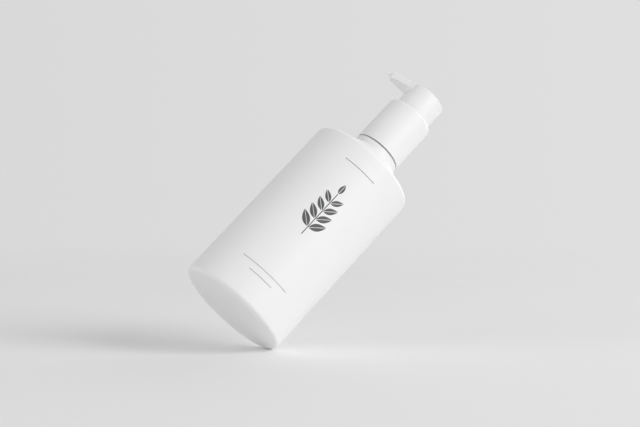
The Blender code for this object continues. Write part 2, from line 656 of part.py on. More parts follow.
def make_return_spring(parent):
    """Compression spring of one unbroken wire between the ball cage and the plug."""
    points = spring_points()
    print_least_gap(points)
    curve = bpy.data.curves.new("return_spring", "CURVE")
    curve.dimensions = "3D"
    curve.bevel_depth = SPRING_WIRE_RADIUS
    curve.bevel_resolution = SPRING_BEVEL_RESOLUTION
    curve.use_fill_caps = True
    spline = curve.splines.new("POLY")
    spline.points.add(len(points) - 1)
    for slot, point in zip(spline.points, points):
        slot.co = point.to_4d()
    spring = bpy.data.objects.new("return_spring", curve)
    bpy.context.collection.objects.link(spring)
    spring.parent = parent
    spring.location.z = SPRING_BASE_Z
    return dress(spring, STEEL, POLISHED, 1.0)


def make_ball_cage(parent):
    """Perforated disc that carries the spring and stops the rising ball."""
    outer_r = BARREL_BORE - CLEARANCE
    boss_top_z = CAGE_TOP_Z + CAGE_BOSS_HEIGHT
    profile = [
        (0, CAGE_BASE_Z),
        (outer_r, CAGE_BASE_Z),
        (outer_r, CAGE_TOP_Z),
        (SPRING_CORE_RADIUS, CAGE_TOP_Z),
        (SPRING_CORE_RADIUS, boss_top_z),
        (0, boss_top_z),
    ]
    cage = turned_piece("ball_cage", profile, SMALL_ROUND_STEPS, CAGE_BASE_Z, parent)
    depth = CAGE_PLATE + CAGE_BOSS_HEIGHT
    bm = bmesh.new()
    for hole in range(CAGE_HOLE_COUNT):
        turn = Matrix.Rotation(math.tau * (hole + 0.5) / CAGE_HOLE_COUNT, 4, "Z")
        place = Matrix.Translation((SPRING_CORE_RADIUS * CAGE_HOLE_SHARE, 0, depth / 2))
        bmesh.ops.create_cone(
            bm,
            cap_ends=True,
            segments=SMALL_ROUND_STEPS // 2,
            radius1=CAGE_HOLE_RADIUS,
            radius2=CAGE_HOLE_RADIUS,
            depth=depth + 2 * OVERRUN,
            matrix=turn @ place,
        )
    combine(cage, tool_object("cage_hole_tool", bm, cage), "DIFFERENCE")
    return dress(cage, NATURAL_WHITE, SMOOTH)


def make_inlet_ball(parent):
    """Steel ball that rests in the housing's conical seat."""
    bm = bmesh.new()
    bmesh.ops.create_uvsphere(bm, u_segments=BALL_SEGMENTS, v_segments=BALL_RINGS, radius=BALL_RADIUS)
    return dress(mesh_object("inlet_ball", bm, parent, BALL_Z), STEEL, POLISHED, 1.0)


def make_dip_tube(parent):
    """Suction tube from the housing's socket down to the base, cut at an angle."""
    bore_r = TUBE_RADIUS - TUBE_WALL
    profile = [
        (bore_r, TUBE_BASE_Z),
        (TUBE_RADIUS, TUBE_BASE_Z),
        (TUBE_RADIUS, TUBE_TOP_Z),
        (bore_r, TUBE_TOP_Z),
    ]
    bm = revolved(profile, SMALL_ROUND_STEPS, TUBE_BASE_Z)
    for vert in bm.verts:
        if vert.co.z < WELD_DISTANCE:
            vert.co.z += (vert.co.x + TUBE_RADIUS) * TUBE_CUT_SLOPE
    return dress(mesh_object("dip_tube", bm, parent, TUBE_BASE_Z), NATURAL_WHITE, SMOOTH)


def nozzle_wedge():
    """Make the flat tapered nozzle, whose narrow end has rounded corners."""
    root_x = -HEAD_RADIUS * NOZZLE_ROOT_SHARE
    tip_x = -NOZZLE_REACH
    root_half = NOZZLE_TIP_HALF_WIDTH + (root_x - tip_x) * math.tan(NOZZLE_TAPER)
    base_z = NOZZLE_BASE_Z - SKIRT_BASE_Z
    outline = [
        (root_x, -root_half),
        (root_x, root_half),
        (tip_x, NOZZLE_TIP_HALF_WIDTH),
        (tip_x, -NOZZLE_TIP_HALF_WIDTH),
    ]
    bm = bmesh.new()
    bottom = bm.faces.new([bm.verts.new((x, y, base_z)) for x, y in outline])
    raised = bmesh.ops.extrude_face_region(bm, geom=[bottom])
    top = [item for item in raised["geom"] if isinstance(item, bmesh.types.BMVert)]
    bmesh.ops.translate(bm, verts=top, vec=(0, 0, NOZZLE_THICKNESS))
    corners = []
    for edge in bm.edges:
        upright = abs(edge.verts[0].co.z - edge.verts[1].co.z) > WELD_DISTANCE
        if upright and edge.verts[0].co.x < (root_x + tip_x) / 2:
            corners.append(edge)
    bmesh.ops.bevel(
        bm,
        geom=corners,
        offset=NOZZLE_TIP_CORNER,
        offset_type="OFFSET",
        segments=ARC_STEPS - 1,
        profile=0.5,
        affect="EDGES",
    )
    return bm


def head_cavity():
    """Make the hollow between the head's skirt and its stem socket."""
    profile = [
        (0, SKIRT_BASE_Z - OVERRUN),
        (HEAD_BORE, SKIRT_BASE_Z - OVERRUN),
        (HEAD_BORE, HEAD_CEILING_Z),
        (HEAD_SOCKET_RADIUS, HEAD_CEILING_Z),
        (HEAD_SOCKET_RADIUS, HEAD_SOCKET_BASE_Z),
        (0, HEAD_SOCKET_BASE_Z),
    ]
    return revolved(profile, LARGE_ROUND_STEPS, SKIRT_BASE_Z)


def along_nozzle(radius, start, end):
    """Make a cylinder on the nozzle's flow line, in the head's own heights."""
    bm = cylinder_along((-1, 0, 0), radius, start, end)
    bmesh.ops.translate(bm, verts=bm.verts, vec=(0, 0, CHANNEL_Z - SKIRT_BASE_Z))
    return bm


def make_actuator_head(parent):
    """Push head: skirt, top, stem socket, flow duct and flat nozzle in one moulding."""
    profile = [(0, SKIRT_BASE_Z), (HEAD_RADIUS, SKIRT_BASE_Z)]
    edge_r = HEAD_RADIUS - HEAD_EDGE_RADIUS
    profile += arc(edge_r, HEAD_TOP_Z - HEAD_EDGE_RADIUS, HEAD_EDGE_RADIUS, 0, 90, ARC_STEPS - 1)
    profile += [(0, HEAD_TOP_Z)]
    head = turned_piece("actuator_head", profile, LARGE_ROUND_STEPS, SKIRT_BASE_Z, parent)
    wall_middle = (HEAD_BORE + HEAD_RADIUS) / 2
    socket_middle = (STEM_HOLE + HEAD_SOCKET_RADIUS) / 2
    bore_floor = HEAD_SOCKET_BASE_Z - OVERRUN - SKIRT_BASE_Z
    bore_ceiling = CHANNEL_Z + CHANNEL_RADIUS - SKIRT_BASE_Z
    tools = [
        ("nozzle_wedge_tool", nozzle_wedge(), "UNION"),
        ("head_cavity_tool", head_cavity(), "DIFFERENCE"),
        ("duct_tool", along_nozzle(CHANNEL_RADIUS + DUCT_WALL, socket_middle, wall_middle), "UNION"),
        ("stem_bore_tool", cylinder_along((0, 0, 1), STEM_HOLE, bore_floor, bore_ceiling), "DIFFERENCE"),
        ("channel_tool", along_nozzle(CHANNEL_RADIUS, 0, NOZZLE_REACH + OVERRUN), "DIFFERENCE"),
    ]
    for name, bm, operation in tools:
        combine(head, tool_object(name, bm, head), operation)
    return dress(head, WHITE, SATIN)


def make_nozzle_tube(parent):
    """Round spout that sits in the nozzle's channel and stands a little proud of it."""
    end = NOZZLE_REACH + SPOUT_PROUD
    start = NOZZLE_REACH - SPOUT_DEPTH
    profile = [
        (SPOUT_BORE_RADIUS, start),
        (SPOUT_RADIUS, start),
        (SPOUT_RADIUS, end),
        (SPOUT_BORE_RADIUS, end),
    ]
    spout = mesh_object("nozzle_tube", revolved(profile, SMALL_ROUND_STEPS), parent, CHANNEL_Z)
    spout.rotation_euler.y = -math.pi / 2
    return dress(spout, WHITE, SATIN)


def main():
    """Clear the scene and build every piece under the empty of its moving group."""
    for old in list(bpy.data.objects):
        bpy.data.objects.remove(old, do_unlink=True)
    bottle_axis = axis_empty("bottle_axis")
    pump_axis = axis_empty("pump_axis", bottle_axis)
    closure_axis = axis_empty("closure_axis", pump_axis)
    plunger_axis = axis_empty("plunger_axis", pump_axis)
    make_bottle(bottle_axis)
    make_neck_gasket(pump_axis)
    make_pump_housing(pump_axis)
    make_stem_guide(pump_axis)
    make_ball_cage(pump_axis)
    make_inlet_ball(pump_axis)
    make_dip_tube(pump_axis)
    make_closure(closure_axis)
    make_collar_sleeve(closure_axis)
    make_return_spring(plunger_axis)
    make_stem(plunger_axis)
    make_stem_plug(plunger_axis)
    make_piston(plunger_axis)
    make_actuator_head(plunger_axis)
    make_nozzle_tube(plunger_axis)


if __name__ == "__main__":
    main()
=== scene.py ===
"""White lotion bottle with a press-down pump, finished around its packed construction model.

Laid out as an add-on: property groups hold the sizes and finishes, one operator makes each piece or
group of like pieces, and a panel lists them. Lengths are in metres, and the bottle's axis is +Z.
"""
import math

import bmesh
import bpy
from bpy.props import FloatProperty, FloatVectorProperty, IntProperty, PointerProperty
from mathutils import Matrix, Vector


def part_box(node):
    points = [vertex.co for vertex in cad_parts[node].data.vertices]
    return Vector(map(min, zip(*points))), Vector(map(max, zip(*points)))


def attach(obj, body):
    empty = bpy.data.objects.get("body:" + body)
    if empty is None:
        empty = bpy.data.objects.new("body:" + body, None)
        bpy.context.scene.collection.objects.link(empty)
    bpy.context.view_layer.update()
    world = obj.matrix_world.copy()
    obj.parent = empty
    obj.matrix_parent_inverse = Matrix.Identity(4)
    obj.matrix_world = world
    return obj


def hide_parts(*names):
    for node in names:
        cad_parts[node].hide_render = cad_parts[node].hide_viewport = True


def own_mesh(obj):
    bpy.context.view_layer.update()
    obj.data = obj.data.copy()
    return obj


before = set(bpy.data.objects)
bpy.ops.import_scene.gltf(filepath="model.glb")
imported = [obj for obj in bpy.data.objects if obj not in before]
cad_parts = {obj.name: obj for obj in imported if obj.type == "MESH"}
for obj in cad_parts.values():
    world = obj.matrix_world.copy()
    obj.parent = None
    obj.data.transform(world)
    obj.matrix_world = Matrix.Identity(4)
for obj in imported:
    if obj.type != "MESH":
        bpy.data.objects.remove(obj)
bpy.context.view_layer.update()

bl_info = {
    "name": "White Lotion Bottle",
    "version": (1, 0, 0),
    "blender": (4, 5, 0),
    "location": "3D View > Sidebar > Bottle",
    "description": "Builds the finished pieces of a round white lotion bottle with its pump",
    "category": "Object",
}

# Reference image and camera: sizes, the base's centre in the image, and the nearest distance seen
IMAGE_WIDTH_PX = 640
IMAGE_HEIGHT_PX = 427
BASE_CENTRE_X_PX = 230.52
BASE_CENTRE_Y_PX = 309.85
FOCAL_LENGTH_PX = 1648.3
SENSOR_WIDTH_MM = 36.0
NEAREST_SEEN = 0.01

# Boxes of the construction nodes that the finished pieces take their sizes from
BOTTLE_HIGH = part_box("bottle")[1]
SLEEVE_LOW, SLEEVE_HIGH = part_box("collar_sleeve")
CLOSURE_LOW, CLOSURE_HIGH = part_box("closure")
HEAD_LOW, HEAD_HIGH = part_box("actuator_head")
SPOUT_LOW, SPOUT_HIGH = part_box("nozzle_tube")
SPRING_LOW, SPRING_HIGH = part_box("return_spring")

# Working values shared by all pieces
CLEARANCE = 0.0003
OVERRUN = 0.0010
WELD_DISTANCE = 0.000001
CUT_WELD = 0.000003
SMOOTH_ANGLE = math.radians(32.0)
ROUNDING_STEP = 0.00012
FEWEST_SEGMENTS = 3
MOST_SEGMENTS = 12
MOST_SIDES = 4

# Turns by which the closure's thread starts below the neck's, which puts its ridge in the groove
THREAD_OFFSET = 0.5

# Values that shape the nozzle and the fillet under it
NOZZLE_CORNER_SEGMENTS = 8
NOZZLE_EDGE_SEGMENTS = 4
FLARE_STEPS = 8
FILLET_OVERLAP = 0.00002
FILLET_INSET_SHARE = 1.2

# Sprig: shares of its stem below the first pair and for all the pairs, and how full a leaf's foot is
FIRST_LEAVES_SHARE = 0.16
LEAVES_SHARE = 0.80
LEAF_SKEW = 0.5

# Places of the colour sockets in a Mix node
MIX_FACTOR = 0
MIX_FIRST_COLOUR = 6
MIX_SECOND_COLOUR = 7
MIX_COLOUR_RESULT = 2

# Ranges of the noise in the shared effects, and the mould line's half width and rise in the relief
PATCH_LOW = 0.3
PATCH_HIGH = 0.7
PATCH_STRENGTH = 0.6
SPECK_CORE = 0.05
SPECK_EDGE = 0.11
SPECK_STRENGTH = 0.35
MOULD_LINE_HALF_WIDTH = 0.00018
MOULD_LINE_RISE = 0.8

# Floor: its facets, and the gap that keeps it clear of the base's edge
FLOOR_STEPS = 96
FLOOR_GAP = 0.0001


def length(name, description, default):
    """Declare one length for the sidebar."""
    return FloatProperty(name=name, description=description, default=default, unit="LENGTH", precision=5)


def angle(name, description, degrees):
    """Declare one angle for the sidebar."""
    return FloatProperty(name=name, description=description, default=math.radians(degrees), unit="ROTATION")


def share(name, description, default):
    """Declare one share between nothing and all for the sidebar."""
    return FloatProperty(name=name, description=description, default=default, min=0.0, max=1.0)


def count(name, description, default):
    """Declare one count for the sidebar."""
    return IntProperty(name=name, description=description, default=default, min=1)


def level(name, description, default):
    """Declare one light level for the sidebar: 1 makes a white surface that faces it full white."""
    return FloatProperty(name=name, description=description, default=default, min=0.0)


def colour(name, description, default):
    """Declare one colour for the sidebar."""
    return FloatVectorProperty(
        name=name, description=description, default=default, size=4, min=0.0, max=1.0, subtype="COLOR"
    )


class BottleSizes(bpy.types.PropertyGroup):
    """Sizes of the blow-moulded shell."""

    steps: count("Facets", "Facets round the body", 256)
    radius: length("Radius", "Outer radius of the body", BOTTLE_HIGH.x)
    wall: length("Wall", "Wall thickness of the body", 0.0012)
    base_wall: length("Base wall", "Wall thickness of the base", 0.0016)
    base_edge: length("Base edge", "Rounding between base and side", 0.0028)
    ring_width: length("Standing ring", "Width of the flat standing ring", 0.0065)
    dish_depth: length("Dish depth", "Depth of the dish in the base", 0.0008)
    side_height: length("Side height", "Height of the straight side", 0.1087)
    shoulder_edge: length("Shoulder edge", "Rounding between side and shoulder", 0.0022)
    shoulder_inner_edge: length("Inner shoulder edge", "The same rounding inside the wall", 0.0010)
    shoulder_rise: length("Shoulder rise", "Height of the shoulder up to the neck band", 0.0107)
    shoulder_slope: angle("Shoulder slope", "Slope of the shoulder at its edge", 22.0)
    shoulder_steps: count("Shoulder steps", "Points along the shoulder's curve", 24)
    shadow_gap: length("Shadow gap", "Gap between the neck band and the sleeve over it", 0.0008)
    band_edge: length("Band edge", "Rounding at the neck band's top edge", 0.00025)
    neck_radius: length("Neck radius", "Outer radius of the neck", 0.0109)
    neck_wall: length("Neck wall", "Wall thickness of the neck", 0.0020)
    rim_edge: length("Rim edge", "Rounding of the neck's rim", 0.0004)


class ThreadSizes(bpy.types.PropertyGroup):
    """Sizes of the neck thread that the closure runs on."""

    steps: count("Facets", "Facets in one turn", 72)
    pitch: length("Pitch", "Rise of the thread in one turn", 0.003175)
    depth: length("Depth", "Height of the ridge above its wall", 0.00105)
    bury: length("Bury", "Depth of the ridge's root in its wall", 0.0004)
    top_inset: length("Top inset", "Drop from the rim to the end of the thread", 0.0020)
    root_share: share("Root", "Ridge width at the root, as a share of the pitch", 0.52)
    crest_share: share("Crest", "Ridge width at the crest, as a share of the pitch", 0.28)
    bottle_turns: FloatProperty(name="Neck turns", description="Turns on the neck", default=1.5)
    closure_turns: FloatProperty(name="Closure turns", description="Turns in the closure", default=1.25)


class CollarSizes(bpy.types.PropertyGroup):
    """Sizes of the threaded closure and of the smooth sleeve over it."""

    steps: count("Facets", "Facets round the collar", 192)
    radius: length("Radius", "Outer radius of the sleeve", SLEEVE_HIGH.x)
    wall: length("Wall", "Wall thickness of the sleeve", 0.00082)
    top_drop: length("Top drop", "Drop of the sleeve's top below its construction solid", 0.0010)
    top_edge: length("Top edge", "Rounding of the sleeve's top edge", 0.0021)
    foot_edge: length("Foot edge", "Rounding of the sleeve's lower edge", 0.00018)
    foot_lift: length("Foot lift", "Height of both feet above their construction solids", 0.0003)
    rim_thickness: length("Rim thickness", "Thickness of the rim round the head", 0.0012)
    rim_overhang: length("Rim overhang", "Width of the rim inside the wall", 0.00153)
    rim_edge: length("Rim edge", "Rounding of the rim's hole", 0.00022)
    rib_count: count("Ribs", "Ribs inside the sleeve", 6)
    rib_width: length("Rib width", "Width of one rib", 0.0010)
    rib_share: share("Rib share", "Rib height as a share of the rim's overhang", 0.8)
    closure_wall: length("Closure wall", "Wall thickness of the closure", 0.00075)
    closure_web: length("Closure web", "Thickness of the closure's top", 0.0012)
    closure_hole: length("Closure hole", "Radius of the hole in the closure's top", 0.0087)
    closure_edge: length("Closure edge", "Rounding of the closure's edges", 0.0002)
    closure_top_edge: length("Closure top edge", "Rounding of the closure's outer top edge", 0.0004)


class HeadSizes(bpy.types.PropertyGroup):
    """Sizes of the push head, its nozzle and its spout."""

    steps: count("Facets", "Facets round the head", 192)
    small_steps: count("Small facets", "Facets round the bores and the spout", 48)
    radius: length("Radius", "Outer radius of the skirt", HEAD_HIGH.x)
    wall: length("Wall", "Wall thickness of the skirt", 0.0011)
    top_thickness: length("Top thickness", "Thickness of the top", 0.0013)
    top_edge: length("Top edge", "Rounding of the top's edge", 0.0005)
    skirt_edge: length("Skirt edge", "Rounding of the skirt's lower edge", 0.0002)
    stem_hole: length("Stem hole", "Radius of the hole for the stem", 0.0035)
    socket_wall: length("Socket wall", "Wall thickness of the stem's socket", 0.0012)
    socket_drop: length("Socket drop", "Height of the socket's foot above the skirt's foot", 0.0012)
    nozzle_thickness: length("Nozzle thickness", "Thickness of the flat nozzle", 0.00388)
    nozzle_tip: length("Nozzle tip", "Half width of the nozzle's end", 0.0026)
    nozzle_taper: angle("Nozzle taper", "Angle of each side of the nozzle to its axis", 18.0)
    nozzle_corner: length("Nozzle corner", "Rounding of the end's corners, seen from above", 0.0008)
    nozzle_edge: length("Nozzle edge", "Rounding of the nozzle's long edges", 0.00035)
    root_fillet: length("Root fillet", "Fillet under the nozzle, where it meets the skirt", 0.0020)
    flank_fillet: length("Flank fillet", "Fillet beside the nozzle, where it meets the skirt", 0.0030)
    duct_wall: length("Duct wall", "Wall of the duct across the skirt", 0.00065)
    spout_bore: length("Spout bore", "Radius of the spout's bore", 0.0006)
    spout_edge: length("Spout edge", "Rounding of the spout's end", 0.00012)


class SpringSizes(bpy.types.PropertyGroup):
    """Sizes of the return spring."""

    wire_steps: count("Wire facets", "Facets round the wire", 12)
    turn_steps: count("Turn facets", "Steps in one turn", 48)
    wire_radius: length("Wire radius", "Radius of the wire", 0.00045)
    turns: count("Turns", "Number of turns", 7)
    end_turns: count("End turns", "Closer turns at each end", 1)
    end_gap: length("End gap", "Gap between the closer turns", 0.0006)
    closed_share: share("Closed share", "Height with the head down, as a share of that at rest", 0.4706)


class MotifSizes(bpy.types.PropertyGroup):
    """Sizes of the plain printed sprig and its rules."""

    proud: length("Ink height", "Height of the ink above the wall", 0.00003)
    sunk: length("Ink depth", "Depth of the ink in the wall", 0.00004)
    strip: length("Strip", "Width of the strips that follow the wall's curve", 0.0006)
    centre_height: length("Sprig height", "Height of the sprig's middle on the body", 0.0640)
    sprig_length: length("Sprig length", "Length of the sprig's stem", 0.0300)
    stem_width: length("Stem width", "Width of the printed stem", 0.0005)
    leaf_pairs: count("Leaf pairs", "Pairs of leaves on the sprig", 4)
    leaf_length: length("Leaf length", "Length of the largest leaf", 0.0105)
    leaf_width: length("Leaf width", "Width of the largest leaf", 0.0042)
    leaf_angle: angle("Leaf angle", "Angle between a leaf and the stem", 48.0)
    leaf_steps: count("Leaf facets", "Points round one half leaf", 48)
    leaf_start: length("Leaf start", "Distance from the stem's middle to a leaf", 0.00075)
    vein_gap: length("Vein gap", "Bare gap along the middle of a leaf", 0.00028)
    top_share: share("Top leaf", "Size of the top leaf, as a share of the largest", 0.62)
    rule_thickness: length("Rule thickness", "Thickness of the printed rules", 0.00030)
    upper_rule_height: length("Upper rule height", "Height of the upper rule on the body", 0.09792)
    upper_rule_length: length("Upper rule length", "Length of the upper rule", 0.0210)
    lower_rule_height: length("Lower rule height", "Height of the lower rules on the body", 0.02048)
    lower_rule_length: length("Lower rule length", "Length of the longer lower rule", 0.0315)
    short_rule_length: length("Short rule length", "Length of the shorter lower rule", 0.01575)
    rule_gap: length("Rule gap", "Distance between the two lower rules", 0.0042)


class Finishes(bpy.types.PropertyGroup):
    """Colours of the materials."""

    body_white: colour("Body white", "Satin white of the bottle", (0.86, 0.86, 0.86, 1.0))
    cap_white: colour("Cap white", "Satin white of the sleeve, head and spout", (0.86, 0.86, 0.86, 1.0))
    natural: colour("Natural plastic", "Uncoloured plastic of the inner parts", (0.78, 0.79, 0.78, 1.0))
    gasket: colour("Gasket grey", "Foam of the sealing washer", (0.55, 0.56, 0.57, 1.0))
    steel: colour("Steel", "Spring wire and ball", (0.62, 0.63, 0.64, 1.0))
    ink: colour("Ink", "Dark grey printing ink", (0.095, 0.095, 0.098, 1.0))
    pale_ink: colour("Pale ink", "Light grey printing ink", (0.30, 0.30, 0.305, 1.0))


class StageSettings(bpy.types.PropertyGroup):
    """Camera, floor and light. Lamp bearings run from the image's right towards the camera."""

    azimuth: angle("View azimuth", "Camera's bearing round the bottle", 13.717)
    elevation: angle("View elevation", "Camera's height above the base plane", -17.56)
    roll: angle("View roll", "Camera's roll about its line of sight", 42.903)
    base_distance: length("Base distance", "Depth of the base's centre from the camera", 0.88935)
    pitch: angle("Floor pitch", "Tilt of the camera down towards the floor", 2.0)
    floor_radius: length("Floor radius", "Radius of the floor", 6.0)
    fade_start: length("Fade start", "Distance at which the floor starts to blend into the backdrop", 0.30)
    fade_end: length("Fade end", "Distance at which only the backdrop shows", 1.1)
    floor_colour: colour("Floor", "Pale floor", (0.89, 0.89, 0.89, 1.0))
    backdrop_left: colour("Backdrop left", "Backdrop at the image's left", (0.694, 0.694, 0.694, 1.0))
    backdrop_right: colour("Backdrop right", "Backdrop at the image's right", (0.737, 0.737, 0.737, 1.0))
    backdrop_side: colour("Backdrop side", "Paler backdrop far out to the right", (0.84, 0.84, 0.84, 1.0))
    side_reach: share("Side reach", "How far out to the right the backdrop is at its palest", 0.32)
    ambient: level("Ambient", "Even light from all sides", 0.44)
    key_bearing: angle("Key bearing", "Key light's bearing", 27.0)
    key_elevation: angle("Key elevation", "Key light's height above the floor", 23.0)
    key_spread: angle("Key spread", "Half angle that the key light fills", 19.0)
    key_level: level("Key level", "Brightness that the key light adds", 0.63)
    fill_bearing: angle("Fill bearing", "Fill light's bearing", 150.0)
    fill_elevation: angle("Fill elevation", "Fill light's height above the floor", 12.0)
    fill_spread: angle("Fill spread", "Half angle that the fill light fills", 30.0)
    fill_level: level("Fill level", "Brightness that the fill light adds", 0.35)
    rim_bearing: angle("Rim bearing", "Rim light's bearing", -60.0)
    rim_elevation: angle("Rim elevation", "Rim light's height above the floor", 10.0)
    rim_spread: angle("Rim spread", "Half angle that the rim light fills", 30.0)
    rim_level: level("Rim level", "Brightness that the rim light adds", 0.32)
    lamp_distance: length("Lamp distance", "Distance of the lamps from the bottle", 3.0)


class LotionBottleSettings(bpy.types.PropertyGroup):
    """Everything that a user would change."""

    bottle: PointerProperty(type=BottleSizes)
    thread: PointerProperty(type=ThreadSizes)
    collar: PointerProperty(type=CollarSizes)
    head: PointerProperty(type=HeadSizes)
    spring: PointerProperty(type=SpringSizes)
    motif: PointerProperty(type=MotifSizes)
    finish: PointerProperty(type=Finishes)
    stage: PointerProperty(type=StageSettings)


def options():
    """Return the settings of the open scene."""
    return bpy.context.scene.lotion_bottle


def rounded(bm, geom, rounding, segments, affect):
    """Round the given vertices or edges."""
    bmesh.ops.bevel(
        bm,
        geom=geom,
        offset=rounding,
        offset_type="OFFSET",
        segments=segments,
        profile=0.5,
        affect=affect,
        material=-1,
    )


def turned(corners, steps):
    """Spin a profile of (radius, height, rounding) corners round the axis into a closed solid."""
    bm = bmesh.new()
    verts = [bm.verts.new((radius, 0, height)) for radius, height, rounding in corners]
    for first, second in zip(verts, verts[1:]):
        bm.edges.new((first, second))
    if corners[0][0] > 0 or corners[-1][0] > 0:
        bm.edges.new((verts[-1], verts[0]))
    for rounding in sorted({corner[2] for corner in corners} - {0}):
        alike = [vert for vert, corner in zip(verts, corners) if corner[2] == rounding]
        segments = max(FEWEST_SEGMENTS, min(MOST_SEGMENTS, round(rounding / ROUNDING_STEP)))
        rounded(bm, alike, rounding, segments, "VERTICES")
    bmesh.ops.spin(
        bm,
        geom=bm.verts[:] + bm.edges[:],
        cent=(0, 0, 0),
        axis=(0, 0, 1),
        angle=math.tau,
        steps=steps,
        use_merge=True,
    )
    bmesh.ops.remove_doubles(bm, verts=bm.verts, dist=WELD_DISTANCE)
    bmesh.ops.recalc_face_normals(bm, faces=bm.faces)
    return bm


def swept(bm, section, turns, pitch, steps):
    """Sweep a section up a helix round the axis, and return the section at its end."""
    made = bmesh.ops.spin(
        bm,
        geom=section,
        cent=(0, 0, 0),
        axis=(0, 0, 1),
        dvec=(0, 0, pitch * turns / steps),
        angle=math.tau * turns,
        steps=steps,
    )
    return made["geom_last"]


def only_verts(items):
    """Keep the vertices of a list of mesh elements."""
    return [item for item in items if isinstance(item, bmesh.types.BMVert)]


def rod(direction, radius, start, end, steps):
    """Make a closed cylinder between two distances along a direction from the origin."""
    bm = bmesh.new()
    turn = Vector((0, 0, 1)).rotation_difference(Vector(direction)).to_matrix().to_4x4()
    place = Matrix.Translation(Vector(direction) * (start + end) / 2) @ turn
    bmesh.ops.create_cone(
        bm, cap_ends=True, segments=steps, radius1=radius, radius2=radius, depth=end - start, matrix=place
    )
    return bm


def lifted(bm, height):
    """Raise a whole bmesh."""
    bmesh.ops.translate(bm, verts=bm.verts, vec=(0, 0, height))
    return bm


def thicken(bm, height):
    """Extrude the flat faces of a bmesh upwards into a closed solid."""
    raised = bmesh.ops.extrude_face_region(bm, geom=bm.faces[:])
    bmesh.ops.translate(bm, verts=only_verts(raised["geom"]), vec=(0, 0, height))


def prism(outline, base, height):
    """Extrude a plan outline upwards into a closed solid."""
    bm = bmesh.new()
    bm.faces.new([bm.verts.new((point.x, point.y, base)) for point in outline])
    thicken(bm, height)
    bmesh.ops.recalc_face_normals(bm, faces=bm.faces)
    return bm


def linked_object(name, data):
    """Add an object that holds a mesh, a camera or a light to the scene."""
    thing = bpy.data.objects.new(name, data)
    bpy.context.scene.collection.objects.link(thing)
    return thing


def loose_object(name, bm):
    """Turn a bmesh into an object in the scene."""
    mesh = bpy.data.meshes.new(name)
    bm.to_mesh(mesh)
    bm.free()
    return linked_object(name, mesh)


def combine(piece, bm, operation):
    """Cut a shape from the piece or join it on, and keep the result as the piece's mesh."""
    tool = loose_object(piece.name + "_tool", bm)
    modifier = piece.modifiers.new("Combine", "BOOLEAN")
    modifier.operation = operation
    modifier.solver = "EXACT"
    modifier.object = tool
    depsgraph = bpy.context.evaluated_depsgraph_get()
    mesh = bpy.data.meshes.new_from_object(piece.evaluated_get(depsgraph))
    piece.modifiers.clear()
    piece.data = mesh
    bpy.data.objects.remove(tool, do_unlink=True)


def clean_cuts(piece):
    """Merge the near-double points along the seams of cuts and unions, and split many-sided faces."""
    bm = bmesh.new()
    bm.from_mesh(piece.data)
    bmesh.ops.remove_doubles(bm, verts=bm.verts, dist=CUT_WELD)
    bmesh.ops.triangulate(bm, faces=[face for face in bm.faces if len(face.verts) > MOST_SIDES])
    bm.to_mesh(piece.data)
    bm.free()


def finish_piece(piece, material, body):
    """Clean, shade and paint a finished piece, and mount it on its body."""
    clean_cuts(piece)
    piece.data.shade_smooth()
    piece.data.set_sharp_from_angle(angle=SMOOTH_ANGLE)
    weighted = piece.modifiers.new("Even shading", "WEIGHTED_NORMAL")
    weighted.keep_sharp = True
    piece.data.materials.clear()
    piece.data.materials.append(material)
    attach(piece, body)


def add_node(tree, kind, sockets, **settings):
    """Add a shader node, set its options and fill its sockets with values or links."""
    made = tree.nodes.new(kind)
    for name, value in settings.items():
        setattr(made, name, value)
    for socket, value in sockets.items():
        if isinstance(value, bpy.types.NodeSocket):
            tree.links.new(value, made.inputs[socket])
        else:
            made.inputs[socket].default_value = value
    return made


def mixed_colour(tree, factor, first, second):
    """Mix two colours, and return the socket that holds the result."""
    sockets = {MIX_FACTOR: factor, MIX_FIRST_COLOUR: first, MIX_SECOND_COLOUR: second}
    return add_node(tree, "ShaderNodeMix", sockets, data_type="RGBA").outputs[MIX_COLOUR_RESULT]


def remapped(tree, value, from_low, from_high, to_low, to_high, **settings):
    """Stretch a value from one range to another, and return the socket that holds the result."""
    sockets = {
        "Value": value,
        "From Min": from_low,
        "From Max": from_high,
        "To Min": to_low,
        "To Max": to_high,
    }
    return add_node(tree, "ShaderNodeMapRange", sockets, **settings).outputs["Result"]


def arithmetic(tree, operation, first, second):
    """Work one sum, and return the socket that holds the result."""
    return add_node(tree, "ShaderNodeMath", {0: first, 1: second}, operation=operation).outputs[0]


def node_group(name, inputs, outputs):
    """Start a node group with named sockets, and return it with its input and output sockets."""
    tree = bpy.data.node_groups.new(name, "ShaderNodeTree")
    for socket, kind in inputs.items():
        tree.interface.new_socket(name=socket, in_out="INPUT", socket_type="NodeSocket" + kind)
    for socket, kind in outputs.items():
        tree.interface.new_socket(name=socket, in_out="OUTPUT", socket_type="NodeSocket" + kind)
    return tree, tree.nodes.new("NodeGroupInput").outputs, tree.nodes.new("NodeGroupOutput").inputs


def noise(tree, place, scale, detail):
    """Add plain noise, and return the socket that holds its value."""
    sockets = {"Vector": place, "Scale": scale, "Detail": detail}
    return add_node(tree, "ShaderNodeTexNoise", sockets).outputs["Fac"]


def moulded_grain():
    """Return the shared effect that gives the height of fine grain on soft waves."""
    name = "Moulded grain"
    if name in bpy.data.node_groups:
        return bpy.data.node_groups[name]
    inputs = {
        "Vector": "Vector",
        "Grains per metre": "Float",
        "Waves per metre": "Float",
        "Grain share": "Float",
    }
    tree, given, result = node_group(name, inputs, {"Height": "Float"})
    fine = noise(tree, given["Vector"], given["Grains per metre"], detail=2.0)
    soft = noise(tree, given["Vector"], given["Waves per metre"], detail=1.0)
    blend = add_node(tree, "ShaderNodeMix", {"Factor": given["Grain share"], "A": soft, "B": fine})
    tree.links.new(blend.outputs["Result"], result["Height"])
    return tree


